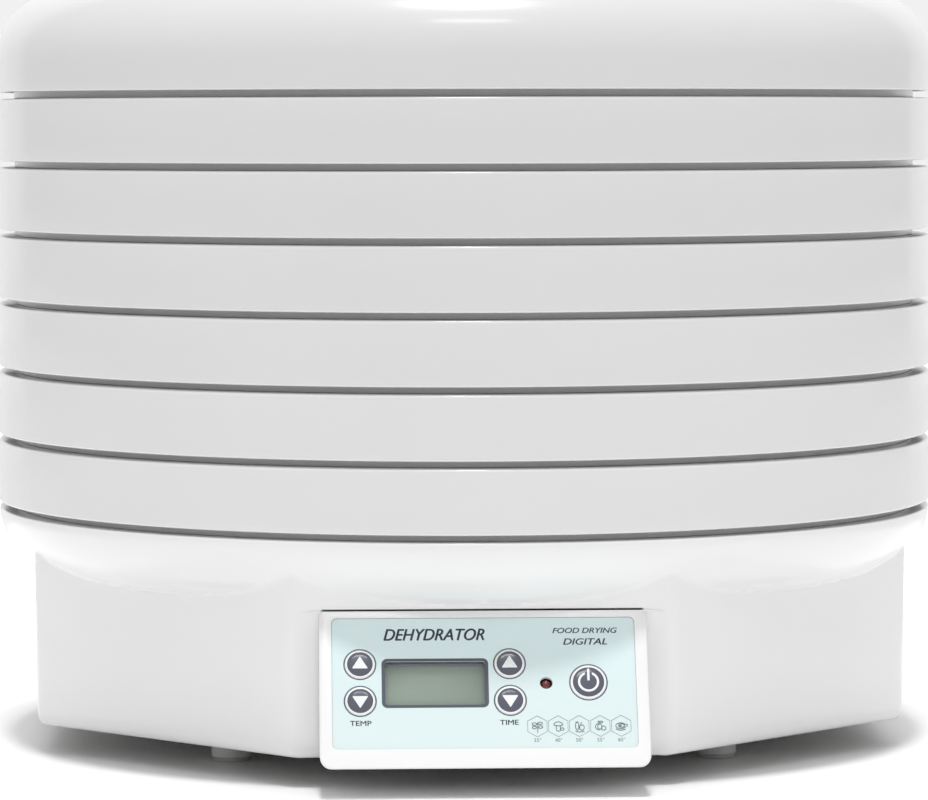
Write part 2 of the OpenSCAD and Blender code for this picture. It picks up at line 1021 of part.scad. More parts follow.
lid();
tray(1);  // tray_1
tray(2);  // tray_2
tray(3);  // tray_3
tray(4);  // tray_4
tray(5);  // tray_5
tray(6);  // tray_6
base_housing();
bottom_cover();
cover_screws();
feet();
foot_pads();
foot_screws();
cord_gland();
terminal_block();
power_board();
power_parts();
heat_sink();
motor_bracket();
motor_grommets();
motor_end_lower();
motor_stator();
motor_windings();
motor_end_upper();
motor_bushes();
rotor_shaft();
fan_impeller();
fan_nut();
heat_plate();
plate_screws();
heater_insulators();
heater_coil(coil_z[0]);  // heater_coil_lower
heater_coil(coil_z[1]);  // heater_coil_upper
thermostat();
thermal_fuse();
air_sensor();
air_deck();
deck_screws();
fan_guard();
console();
console_screws();
label_sheet();
key(keys[0], key_r);  // key_temp_up
key(keys[1], key_r);  // key_temp_down
key(keys[2], key_r);  // key_time_up
key(keys[3], key_r);  // key_time_down
key(power_key, power_key_r);  // key_power
tact_switches();
control_board();
board_screws();
lcd_carrier();
lcd_display();
lcd_window();
status_led();
wiring();
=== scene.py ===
"""Visual model of a round stacking food dehydrator.

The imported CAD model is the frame: every piece made here takes its place from a CAD node's box
and rides on that node's body. The shells, the trays, the console and its keys are rebuilt as
fine meshes, and every piece that is carried over gets a finish of its own.
"""
import json
import logging
import math
from dataclasses import dataclass, field
from enum import Enum
from typing import Iterable, Sequence

import bmesh
import bpy
from mathutils import Matrix, Vector


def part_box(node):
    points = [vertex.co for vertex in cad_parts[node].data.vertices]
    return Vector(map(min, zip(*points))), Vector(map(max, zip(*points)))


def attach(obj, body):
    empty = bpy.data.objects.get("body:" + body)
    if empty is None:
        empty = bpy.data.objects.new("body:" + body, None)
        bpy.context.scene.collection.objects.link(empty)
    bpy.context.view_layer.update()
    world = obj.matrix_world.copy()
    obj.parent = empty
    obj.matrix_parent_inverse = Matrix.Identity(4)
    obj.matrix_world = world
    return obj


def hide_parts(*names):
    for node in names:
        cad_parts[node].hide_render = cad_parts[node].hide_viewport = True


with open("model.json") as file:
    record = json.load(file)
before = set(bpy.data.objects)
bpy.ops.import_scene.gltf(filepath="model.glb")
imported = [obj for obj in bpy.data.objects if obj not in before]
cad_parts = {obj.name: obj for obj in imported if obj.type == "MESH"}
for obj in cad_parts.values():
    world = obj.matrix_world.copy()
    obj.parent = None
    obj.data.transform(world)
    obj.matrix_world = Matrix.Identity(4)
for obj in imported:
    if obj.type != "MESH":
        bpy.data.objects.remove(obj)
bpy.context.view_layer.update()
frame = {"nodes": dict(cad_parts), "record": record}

LOG = logging.getLogger("dehydrator")
MM = 0.001
TURN = 2 * math.pi
TOUCH = 1e-7  # Metres within which two points are one.
Corner = tuple[float, float, float]
Colour = tuple[float, float, float]


# ---- Mesh helpers -------------------------------------------------------------------


def fillet_length(before: Vector, at: Vector, after: Vector, radius: float) -> float:
    """Distance from a corner to where an arc of a radius touches its two sides.

    Args:
        before: The point before the corner.
        at: The corner.
        after: The point after the corner.
        radius: The arc's radius.

    Returns:
        The distance along either side.
    """
    angle = (before - at).angle(after - at)
    return radius / math.tan(angle / 2)


def outline(bm: bmesh.types.BMesh, corners: Sequence[Corner], segments: int = 4) -> None:
    """Draws a closed outline with rounded corners as one face in the XZ plane.

    Args:
        bm: An empty mesh that takes the face.
        corners: Each corner's x, z and radius, in millimetres.
        segments: Segments of each rounded corner, more on a large one.
    """
    points = [Vector((x * MM, 0, z * MM)) for x, z, _ in corners]
    verts = [bm.verts.new(p) for p in points]
    bm.faces.new(verts)
    for i, (_, _, radius) in enumerate(corners):
        if radius > 0:
            after = points[(i + 1) % len(points)]
            length = fillet_length(points[i - 1], points[i], after, radius * MM)
            bmesh.ops.bevel(bm, geom=[verts[i]], offset=length, offset_type="OFFSET",
                            segments=max(segments, int(radius * 0.8)), profile=0.5,
                            affect="VERTICES", material=-1)


def lathe(corners: Sequence[Corner], steps: int, segments: int = 4) -> bmesh.types.BMesh:
    """Turns a rounded outline about the Z axis into a closed ring or a closed dome.

    Args:
        corners: The outline's corners, as radius, height and corner radius in millimetres. Two
            neighbours on the axis close a dome.
        steps: Steps of the full turn.
        segments: Segments of each rounded corner.

    Returns:
        A new mesh.
    """
    bm = bmesh.new()
    outline(bm, corners, segments)
    bmesh.ops.delete(bm, geom=bm.faces[:], context="FACES_ONLY")
    on_axis = [e for e in bm.edges if all(abs(v.co.x) < TOUCH for v in e.verts)]
    bmesh.ops.delete(bm, geom=on_axis, context="EDGES")
    bmesh.ops.spin(bm, geom=bm.verts[:] + bm.edges[:], cent=(0, 0, 0), axis=(0, 0, 1),
                   angle=TURN, steps=steps, use_merge=True)
    bmesh.ops.remove_doubles(bm, verts=bm.verts[:], dist=TOUCH)
    bmesh.ops.recalc_face_normals(bm, faces=bm.faces[:])
    return bm


def block(size: Sequence[float], centre: Sequence[float], round_by: float = 0.0,
          segments: int = 2) -> bmesh.types.BMesh:
    """A box with rounded edges.

    Args:
        size: Its size in millimetres.
        centre: Its centre in millimetres.
        round_by: Radius of its edges in millimetres, or 0 for sharp ones.
        segments: Segments of each rounded edge.

    Returns:
        A new mesh.
    """
    bm = bmesh.new()
    scale = Matrix.Diagonal((size[0] * MM, size[1] * MM, size[2] * MM, 1))
    place = Matrix.Translation([c * MM for c in centre])
    bmesh.ops.create_cube(bm, size=1, matrix=place @ scale)
    if round_by > 0:
        bmesh.ops.bevel(bm, geom=bm.edges[:], offset=round_by * MM, offset_type="OFFSET",
                        segments=segments, profile=0.5, affect="EDGES", material=-1)
    return bm


def moved(bm: bmesh.types.BMesh, place: Matrix) -> bmesh.types.BMesh:
    """Moves a mesh by a matrix and hands it back."""
    bmesh.ops.transform(bm, matrix=place, verts=bm.verts[:])
    return bm


def join(target: bmesh.types.BMesh, part: bmesh.types.BMesh,
         place: Matrix | None = None) -> bmesh.types.BMesh:
    """Adds one mesh to another, moved by a matrix, and frees it.

    Args:
        target: The mesh that grows.
        part: The mesh that is added.
        place: Where the added mesh goes.

    Returns:
        The target.
    """
    if place is not None:
        moved(part, place)
    held = bpy.data.meshes.new("held")
    part.to_mesh(held)
    part.free()
    target.from_mesh(held)
    bpy.data.meshes.remove(held)
    return target


def copies(part: bmesh.types.BMesh, places: Iterable[Matrix]) -> bmesh.types.BMesh:
    """One mesh that holds a copy of a part at each place.

    Args:
        part: The part, which is freed.
        places: A matrix for each copy.

    Returns:
        A new mesh.
    """
    made = bmesh.new()
    for place in places:
        join(made, part.copy(), place)
    part.free()
    return made


def turned(count: int, first: float = 0.0) -> list[Matrix]:
    """Matrices that turn a part to evenly spaced places about the Z axis.

    Args:
        count: How many places.
        first: Angle of the first, in degrees.

    Returns:
        One matrix for each place.
    """
    return [Matrix.Rotation(math.radians(first) + i * TURN / count, 4, "Z") for i in range(count)]


def up(z: float) -> Matrix:
    """A move along Z in millimetres."""
    return Matrix.Translation((0, 0, z * MM))


def make_object(name: str, bm: bmesh.types.BMesh, crease: float = 32.0) -> bpy.types.Object:
    """Turns a mesh into a named object at the origin, smooth but for its sharper edges.

    Args:
        name: The object's name.
        bm: The mesh, which is freed.
        crease: Edges that bend more than this many degrees stay sharp.

    Returns:
        The object.
    """
    mesh = bpy.data.meshes.new(name)
    bm.to_mesh(mesh)
    bm.free()
    mesh.shade_smooth()
    mesh.set_sharp_from_angle(angle=math.radians(crease))
    made = bpy.data.objects.new(name, mesh)
    bpy.context.scene.collection.objects.link(made)
    return made


def carve(piece: bpy.types.Object, cutter: bmesh.types.BMesh) -> None:
    """Cuts a closed mesh out of a piece and keeps the result as the piece's own mesh.

    Args:
        piece: The piece that is cut.
        cutter: The closed mesh that is taken away, which is freed.
    """
    tool = make_object("cutter", cutter)
    cut = piece.modifiers.new("cut", "BOOLEAN")
    cut.operation = "DIFFERENCE"
    cut.solver = "EXACT"
    cut.object = tool
    found = piece.evaluated_get(bpy.context.evaluated_depsgraph_get())
    whole = bpy.data.meshes.new_from_object(found)
    piece.modifiers.clear()
    old, piece.data = piece.data, whole
    whole.name = piece.name
    bpy.data.meshes.remove(old)
    bpy.data.objects.remove(tool)
    whole.shade_smooth()
    whole.set_sharp_from_angle(angle=math.radians(32.0))


def carved(bm: bmesh.types.BMesh, cutter: bmesh.types.BMesh) -> bmesh.types.BMesh:
    """Cuts one closed mesh out of another that isn't a piece yet.

    Args:
        bm: The mesh that is cut, which is freed.
        cutter: The closed mesh that is taken away, which is freed.

    Returns:
        A new mesh.
    """
    held = make_object("held", bm)
    carve(held, cutter)
    made = bmesh.new()
    made.from_mesh(held.data)
    bpy.data.objects.remove(held)
    return made


def tube(paths: Iterable[Sequence[Vector]], radius: float, closed: bool = False,
         sides: int = 1) -> bmesh.types.BMesh:
    """A round wire along each of several paths.

    Args:
        paths: Points of each path, in metres.
        radius: The wire's radius in metres.
        closed: Whether each path runs back to its start.
        sides: Blender's bevel resolution, 1 for six sides.

    Returns:
        A new mesh.
    """
    curve = bpy.data.curves.new("wire", "CURVE")
    curve.dimensions = "3D"
    curve.bevel_depth = radius
    curve.bevel_resolution = sides
    curve.use_fill_caps = True
    for points in paths:
        spline = curve.splines.new("POLY")
        spline.points.add(len(points) - 1)
        for point, at in zip(spline.points, points):
            point.co = (*at, 1)
        spline.use_cyclic_u = closed
    return from_curve(curve)


def from_curve(curve: bpy.types.Curve) -> bmesh.types.BMesh:
    """The mesh of a curve or of a line of text, which is removed.

    Args:
        curve: The curve or text.

    Returns:
        A new mesh.
    """
    held = bpy.data.objects.new("held", curve)
    bpy.context.scene.collection.objects.link(held)
    found = held.evaluated_get(bpy.context.evaluated_depsgraph_get())
    mesh = bpy.data.meshes.new_from_object(found)
    bm = bmesh.new()
    bm.from_mesh(mesh)
    bpy.data.objects.remove(held)
    bpy.data.meshes.remove(mesh)
    bpy.data.curves.remove(curve)
    bmesh.ops.remove_doubles(bm, verts=bm.verts[:], dist=1e-8)
    return bm


# ---- Finishes -----------------------------------------------------------------------


class Shader:
    """A small builder round one material's node tree."""

    def __init__(self, name: str) -> None:
        """Makes an empty material with a Principled shader.

        Args:
            name: The material's name.
        """
        self.material = bpy.data.materials.new(name)
        self.material.use_nodes = True
        self.tree = self.material.node_tree
        self.surface = self.tree.nodes["Principled BSDF"]
        self.place = self.node("ShaderNodeTexCoord").outputs["Object"]

    def node(self, kind: str, **settings: object) -> bpy.types.Node:
        """Adds a node and sets its properties.

        Args:
            kind: The node's type.
            settings: The properties.

        Returns:
            The node.
        """
        made = self.tree.nodes.new(kind)
        for name, value in settings.items():
            setattr(made, name, value)
        return made

    def set(self, **sockets: object) -> None:
        """Sets constants on the shader's own sockets, with underscores for spaces."""
        for name, value in sockets.items():
            self.surface.inputs[name.replace("_", " ")].default_value = value

    def join(self, source: bpy.types.NodeSocket, target: bpy.types.NodeSocket) -> None:
        """Links two sockets."""
        self.tree.links.new(source, target)

    def noise(self, scale: float, detail: float = 3.0,
              stretch: Sequence[float] = (1, 1, 1)) -> bpy.types.NodeSocket:
        """A noise pattern on the piece's own coordinates.

        Args:
            scale: Waves in a metre.
            detail: Octaves.
            stretch: Scale of each axis.

        Returns:
            The pattern's value.
        """
        mapping = self.node("ShaderNodeMapping")
        mapping.inputs["Scale"].default_value = stretch
        self.join(self.place, mapping.inputs["Vector"])
        made = self.node("ShaderNodeTexNoise")
        made.inputs["Scale"].default_value = scale
        made.inputs["Detail"].default_value = detail
        self.join(mapping.outputs["Vector"], made.inputs["Vector"])
        return made.outputs["Fac"]

    def waves(self, scale: float, axis: str = "Z", kind: str = "BANDS") -> bpy.types.NodeSocket:
        """A regular pattern of bands or rings.

        Args:
            scale: Bands in a metre, over Blender's factor of about 3.
            axis: The axis that the bands step along.
            kind: BANDS or RINGS.

        Returns:
            The pattern's value.
        """
        made = self.node("ShaderNodeTexWave", wave_type=kind)
        if kind == "BANDS":
            made.bands_direction = axis
        else:
            made.rings_direction = axis
        made.inputs["Scale"].default_value = scale
        self.join(self.place, made.inputs["Vector"])
        return made.outputs["Fac"]

    def vary(self, source: bpy.types.NodeSocket, low: float, high: float,
             socket: str = "Roughness") -> None:
        """Drives a socket of the shader from a pattern.

        Args:
            source: The pattern.
            low: The socket's value where the pattern is dark.
            high: Its value where the pattern is light.
            socket: The socket's name.
        """
        spread = self.node("ShaderNodeMapRange")
        spread.inputs["From Min"].default_value = 0.25
        spread.inputs["From Max"].default_value = 0.75
        spread.inputs["To Min"].default_value = low
        spread.inputs["To Max"].default_value = high
        self.join(source, spread.inputs["Value"])
        self.join(spread.outputs["Result"], self.surface.inputs[socket])

    def tint(self, source: bpy.types.NodeSocket, dark: Colour, light: Colour) -> None:
        """Colours the surface between two colours by a pattern.

        Args:
            source: The pattern.
            dark: The colour where the pattern is dark.
            light: The colour where it is light.
        """
        ramp = self.node("ShaderNodeValToRGB")
        ramp.color_ramp.elements[0].position = 0.3
        ramp.color_ramp.elements[0].color = (*dark, 1)
        ramp.color_ramp.elements[1].position = 0.7
        ramp.color_ramp.elements[1].color = (*light, 1)
        self.join(source, ramp.inputs["Fac"])
        self.join(ramp.outputs["Color"], self.surface.inputs["Base Color"])

    def bump(self, source: bpy.types.NodeSocket, height: float, strength: float = 1.0) -> None:
        """Raises the surface by a pattern.

        Args:
            source: The pattern.
            height: Height of the pattern in metres.
            strength: How much of it shows.
        """
        made = self.node("ShaderNodeBump")
        made.inputs["Strength"].default_value = strength
        made.inputs["Distance"].default_value = height
        self.join(source, made.inputs["Height"])
        self.join(made.outputs["Normal"], self.surface.inputs["Normal"])


def shade(colour: Colour, by: float) -> Colour:
    """A colour made lighter or darker by a factor."""
    return tuple(min(1.0, c * by) for c in colour)


@dataclass(frozen=True)
class Plastic:
    """Moulded plastic: slight unevenness of tone and gloss, and a faint moulding texture."""

    slot: str
    colour: Colour
    roughness: float = 0.28
    spread: float = 0.08
    tone: float = 0.985
    texture: float = 900.0
    depth: float = 0.000004
    coat: float = 0.0
    specular: float = 0.5

    def material(self) -> bpy.types.Material:
        """Builds the finish.

        Returns:
            The material.
        """
        made = Shader(self.slot)
        made.tint(made.noise(14.0), shade(self.colour, self.tone), self.colour)
        made.vary(made.noise(55.0), self.roughness, self.roughness + self.spread)
        made.bump(made.noise(self.texture, 2.0), self.depth, 0.35)
        made.set(Coat_Weight=self.coat, Coat_Roughness=0.08, Specular_IOR_Level=self.specular)
        return made.material


@dataclass(frozen=True)
class Metal:
    """Bare or plated metal, with drawn or cast grain."""

    slot: str
    colour: Colour
    roughness: float = 0.3
    grain: Sequence[float] = (1, 1, 12)
    scale: float = 160.0
    depth: float = 0.00002

    def material(self) -> bpy.types.Material:
        """Builds the finish.

        Returns:
            The material.
        """
        made = Shader(self.slot)
        made.tint(made.noise(30.0), shade(self.colour, 0.82), self.colour)
        grain = made.noise(self.scale, 4.0, self.grain)
        made.vary(grain, self.roughness, self.roughness + 0.2)
        made.bump(grain, self.depth, 0.3)
        made.set(Metallic=1.0)
        return made.material


@dataclass(frozen=True)
class Banded:
    """Stacked sheets or wound wire: fine bands that catch the light."""

    slot: str
    dark: Colour
    light: Colour
    bands: float
    axis: str = "Z"
    kind: str = "BANDS"
    metallic: float = 1.0
    depth: float = 0.0002

    def material(self) -> bpy.types.Material:
        """Builds the finish.

        Returns:
            The material.
        """
        made = Shader(self.slot)
        pattern = made.waves(self.bands, self.axis, self.kind)
        made.tint(pattern, self.dark, self.light)
        made.vary(made.noise(80.0), 0.3, 0.5)
        made.bump(pattern, self.depth, 0.6)
        made.set(Metallic=self.metallic)
        return made.material


@dataclass(frozen=True)
class CircuitBoard:
    """Green lacquered board with darker clearings between its copper areas."""

    slot: str
    colour: Colour

    def material(self) -> bpy.types.Material:
        """Builds the finish.

        Returns:
            The material.
        """
        made = Shader(self.slot)
        cells = made.node("ShaderNodeTexVoronoi", distance="CHEBYCHEV")
        cells.inputs["Scale"].default_value = 260.0
        made.join(made.place, cells.inputs["Vector"])
        made.tint(cells.outputs["Distance"], self.colour, shade(self.colour, 1.9))
        made.bump(cells.outputs["Distance"], 0.00005, 0.4)
        made.vary(made.noise(120.0), 0.25, 0.4)
        return made.material


@dataclass(frozen=True)
class SheetWithPaintedLight:
    """Printed polyester sheet, with painted light and shade: its colour shifts from the lower edge
    to the upper one.
    """

    slot: str
    upper: Colour
    lower: Colour
    low_z: float
    high_z: float

    def material(self) -> bpy.types.Material:
        """Builds the finish.

        Returns:
            The material.
        """
        made = Shader(self.slot)
        split = made.node("ShaderNodeSeparateXYZ")
        made.join(made.place, split.inputs["Vector"])
        spread = made.node("ShaderNodeMapRange")
        spread.inputs["From Min"].default_value = self.low_z
        spread.inputs["From Max"].default_value = self.high_z
        made.join(split.outputs["Z"], spread.inputs["Value"])
        # Painted light and shade: the colour is blended by height, from the lower colour to the
        # upper one.
        made.tint(spread.outputs["Result"], self.lower, self.upper)
        made.vary(made.noise(90.0), 0.3, 0.4)
        made.bump(made.noise(2600.0, 2.0), 0.000006, 0.3)
        return made.material


@dataclass(frozen=True)
class ClearSheet:
    """A thin clear window, which lets light through to what is behind it."""

    slot: str
    colour: Colour
    alpha: float

    def material(self) -> bpy.types.Material:
        """Builds the finish.

        Returns:
            The material.
        """
        made = Shader(self.slot)
        made.tint(made.noise(20.0), shade(self.colour, 0.98), self.colour)
        made.vary(made.noise(60.0), 0.04, 0.09)
        made.set(Alpha=self.alpha)
        return made.material


WHITE: Colour = (0.845, 0.845, 0.845)
FINISHES = {
    finish.slot: finish for finish in [
        Plastic("white_shell", WHITE, 0.2, 0.05, coat=0.25),
        Plastic("white_tray", (0.75, 0.75, 0.75), 0.2, 0.05, coat=0.25),
        Plastic("cover_plastic", (0.62, 0.62, 0.61), 0.5, texture=1500, depth=0.00003),
        Plastic("foot_plastic", (0.72, 0.72, 0.71), 0.4),
        Plastic("pad_rubber", (0.5, 0.5, 0.5), 0.6, 0.15, 0.9, 2500, 0.00004),
        Plastic("grommet_rubber", (0.02, 0.02, 0.02), 0.6, 0.15, 0.8, 2500, 0.00004),
        Plastic("gland_nylon", (0.62, 0.62, 0.61), 0.4),
        Plastic("terminal_nylon", (0.78, 0.74, 0.62), 0.45),
        Plastic("components", (0.05, 0.13, 0.3), 0.35, 0.15, 0.6),
        Plastic("fan_plastic", (0.5, 0.5, 0.49), 0.45, 0.12, 0.9),
        Plastic("ceramic", (0.76, 0.7, 0.58), 0.65, 0.2, 0.88, 700, 0.00006),
        Plastic("sensor_black", (0.02, 0.02, 0.022), 0.4, tone=0.7),
        Plastic("switch_black", (0.018, 0.018, 0.02), 0.4, tone=0.7),
        Plastic("key_slate", (0.078, 0.085, 0.118), 0.16, 0.05, 0.92, coat=1.0),
        Plastic("lcd_frame", (0.075, 0.082, 0.11), 0.3, tone=0.92),
        Plastic("lcd_glass", (0.225, 0.335, 0.22), 0.3, 0.1, 0.93),
        Plastic("led_red", (0.16, 0.008, 0.01), 0.08, 0.04, 0.8, coat=1.0),
        Plastic("fuse_sleeve", (0.6, 0.52, 0.38), 0.8, 0.1, 0.75, 1800, 0.00015),
        Plastic("wire_insulation", (0.35, 0.03, 0.02), 0.35, tone=0.85),
        Metal("screw_steel", (0.62, 0.62, 0.6), 0.28),
        Metal("sink_aluminium", (0.72, 0.73, 0.75), 0.35, (1, 1, 30)),
        Metal("bracket_steel", (0.6, 0.61, 0.62), 0.35),
        Metal("rotor_steel", (0.55, 0.56, 0.58), 0.2, (1, 1, 40)),
        Metal("plate_steel", (0.6, 0.61, 0.62), 0.4, (1, 1, 1), 45.0, 0.00003),
        Metal("bush_bronze", (0.6, 0.4, 0.16), 0.45, (1, 1, 1), 600.0),
        Metal("heater_wire", (0.12, 0.1, 0.095), 0.5, (1, 1, 1), 900.0),
        Banded("lamination_steel", (0.1, 0.1, 0.11), (0.32, 0.33, 0.35), 600.0),
        Banded("copper_winding", (0.2, 0.06, 0.02), (0.72, 0.3, 0.12), 500.0, "Z", "RINGS"),
        CircuitBoard("circuit_board", (0.012, 0.09, 0.03)),
        ClearSheet("clear_window", (0.9, 0.95, 0.93), 0.12),
    ]
}


class Paint(Enum):
    """Colours of the print and of the parts that have no CAD slot of their own."""

    SLATE = (0.078, 0.088, 0.118)
    GREY_INK = (0.12, 0.145, 0.16)
    WHITE_INK = (0.86, 0.87, 0.88)
    RED = (0.35, 0.03, 0.02)
    BLUE = (0.02, 0.06, 0.3)
    YELLOW = (0.6, 0.42, 0.03)
    BLACK = (0.02, 0.02, 0.02)
    GREY = (0.3, 0.3, 0.3)


class Palette:
    """Makes each finish once and dresses pieces with it."""

    def __init__(self) -> None:
        """Starts with no material made."""
        self.made: dict[str, bpy.types.Material] = {}

    def finish(self, slot: str) -> bpy.types.Material:
        """The material of one of the record's slots.

        Args:
            slot: The slot's name.

        Returns:
            The material.
        """
        if slot not in self.made:
            self.made[slot] = FINISHES[slot].material()
        return self.made[slot]

    def paint(self, paint: Paint) -> bpy.types.Material:
        """The material of an ink or of a coloured part.

        Args:
            paint: The colour.

        Returns:
            The material.
        """
        name = paint.name.lower()
        if name not in self.made:
            self.made[name] = Plastic(name, paint.value, 0.4, 0.1, 0.9).material()
        return self.made[name]

    def dress(self, piece: bpy.types.Object, material: bpy.types.Material) -> None:
        """Gives a whole piece one material."""
        piece.data.materials.clear()
        piece.data.materials.append(material)

    def settle(self, piece: bpy.types.Object, body: str, slot: str,
               replaces: Sequence[str] = (), paint: Paint | None = None) -> bpy.types.Object:
        """Dresses a finished piece and fixes it to its body.

        Args:
            piece: The piece.
            body: The CAD body that it rides on.
            slot: The record's slot that it takes its finish from.
            replaces: The CAD nodes that it stands for.
            paint: An ink or colour in place of the slot's own finish.

        Returns:
            The piece.
        """
        self.dress(piece, self.paint(paint) if paint else self.finish(slot))
        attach(piece, body)
        if replaces:
            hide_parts(*replaces)
        LOG.info("%s: %d faces on %s", piece.name, len(piece.data.polygons), body)
        return piece


# ---- Trays and lid ------------------------------------------------------------------


@dataclass
class DryingTray:
    """One tray: an outer band, a set-in duct wall, a locating lip and an open floor.

    Sizes are in millimetres, and heights are from the tray's own bottom edge.
    """

    node: str
    wall: float = 2.2
    flange: float = 1.8
    gap: float = 2.8
    gap_depth: float = 7.3
    lip: float = 1.8
    lip_wall: float = 2.0
    lip_gap: float = 0.3
    basket_r: float = 170.0
    basket_top: float = 24.0
    floor_z: float = 4.0
    floor_t: float = 2.4
    hole_r: float = 38.0
    collar: float = 3.0
    rings: int = 15
    steps: int = 224

    def __post_init__(self) -> None:
        """Takes the tray's place and outer size from the CAD."""
        low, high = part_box(self.node)
        self.z0 = low.z / MM
        self.outer_r = high.x / MM
        self.pitch = (high.z - low.z) / MM - self.lip

    def rim(self) -> bmesh.types.BMesh:
        """The outer band, the flange, the duct wall and the lip, as one turned section.

        Returns:
            A new mesh.
        """
        duct = self.outer_r - self.gap_depth
        lip_out = duct - self.wall - self.lip_gap
        under = self.pitch - self.flange
        return lathe([
            (self.outer_r, self.gap, 0.9), (self.outer_r, self.pitch, 1.3),
            (lip_out, self.pitch, 0), (lip_out, self.pitch + self.lip, 0.5),
            (lip_out - self.lip_wall, self.pitch + self.lip, 0.5),
            (lip_out - self.lip_wall, under, 0.3), (duct - self.wall, under, 0),
            (duct - self.wall, 0.05, 0.35), (duct, 0.05, 0.35), (duct, under, 0.4),
            (self.outer_r - self.wall, under, 0.4), (self.outer_r - self.wall, self.gap, 0.5),
        ], self.steps)

    def basket(self) -> bmesh.types.BMesh:
        """The wall round the floor and the webs that tie it to the duct wall.

        Returns:
            A new mesh.
        """
        inner = self.basket_r - self.wall
        made = lathe([(self.basket_r, self.floor_z, 0.4), (self.basket_r, self.basket_top, 0.8),
                      (inner, self.basket_top, 0.8), (inner, self.floor_z, 0.4)], self.steps, 3)
        reach = self.outer_r - self.gap_depth - self.basket_r
        web = block((reach, 2, 14), (self.basket_r - 0.6 + reach / 2, 0, self.floor_z + 7), 0.4)
        return join(made, copies(web, turned(12, 7.5)))

    def floor(self) -> bmesh.types.BMesh:
        """The open floor: rings, and spokes that grow in number towards the wall.

        Returns:
            A new mesh.
        """
        made = bmesh.new()
        low, top = self.floor_z, self.floor_z + self.floor_t
        out = self.basket_r - self.wall / 2
        step = (out - self.hole_r - self.collar) / self.rings
        for i in range(1, self.rings):
            r = self.hole_r + self.collar + i * step
            half = 0.8 if i % 2 == 0 else 0.6
            join(made, lathe([(r + half, low, 0), (r + half, top, 0.5),
                              (r - half, top, 0.5), (r - half, low, 0)], 120, 2))
        join(made, lathe([
            (self.hole_r + self.collar, low, 0.3), (self.hole_r + self.collar, top, 0.3),
            (self.hole_r + 2, top + 2.6, 0.6), (self.hole_r, top + 2.6, 0.6),
            (self.hole_r, low, 0.3)], 120, 2))
        start = self.hole_r + self.collar - 0.5
        for count, first, inner, wide in [(24, 0, start, 2.0), (24, 7.5, start + 4 * step, 1.5),
                                          (48, 3.75, start + 9 * step, 1.3)]:
            spoke = block((out - inner, wide, self.floor_t - 0.1),
                          ((out + inner) / 2, 0, low + self.floor_t / 2), 0.35, 1)
            join(made, copies(spoke, turned(count, first)))
        return made

    def moulding(self) -> bmesh.types.BMesh:
        """The whole tray, from its bottom edge up."""
        return join(join(self.rim(), self.basket()), self.floor())

    def build(self, palette: Palette, moulding: bmesh.types.BMesh) -> None:
        """Puts a copy of the one tray moulding on this tray's body.

        Args:
            palette: Where its finish comes from.
            moulding: The tray's shape, which stays as it is.
        """
        piece = make_object(f"{self.node}_moulding", moved(moulding.copy(), up(self.z0)))
        palette.settle(piece, self.node, "white_tray", [self.node])


@dataclass
class Lid:
    """The round-shouldered lid. Sizes are in millimetres from the flange that it rests on."""

    wall: float = 2.5
    gap: float = 2.8
    gap_depth: float = 7.3
    duct_wall: float = 2.2
    lip: float = 1.8
    shoulder: float = 28.0
    dish_r: float = 134.0
    dish_depth: float = 1.2
    ribs: int = 8
    steps: int = 256

    def build(self, palette: Palette) -> None:
        """Builds the lid and puts it on its body.

        Args:
            palette: Where its finish comes from.
        """
        high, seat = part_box("lid")[1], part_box("tray_1")[1].z - self.lip * MM
        r, top = high.x / MM, (high.z - seat) / MM
        duct = r - self.gap_depth
        inner = duct - self.duct_wall
        made = lathe([
            (0, top - self.dish_depth, 0), (self.dish_r - 0.6, top - self.dish_depth, 0.8),
            (self.dish_r + 0.6, top, 0.8), (r, top, self.shoulder), (r, self.gap, 0.9),
            (r - self.wall, self.gap, 0.5), (r - self.wall, 20, 4), (duct, 31, 0.5),
            (duct, 0.05, 0.35), (inner, 0.05, 0.35), (inner, 33.5, 0.5), (178, 39.5, 4),
            (164, top - self.wall, 4), (0, top - self.wall, 0),
        ], self.steps)
        rib = block((125, 1.6, 5.2), (92.5, 0, top - self.wall - 2.4), 0.3, 1)
        join(made, copies(rib, turned(self.ribs)))
        piece = make_object("lid_moulding", moved(made, up(seat / MM)))
        palette.settle(piece, "lid", "white_tray", ["lid"])


# ---- Base ---------------------------------------------------------------------------


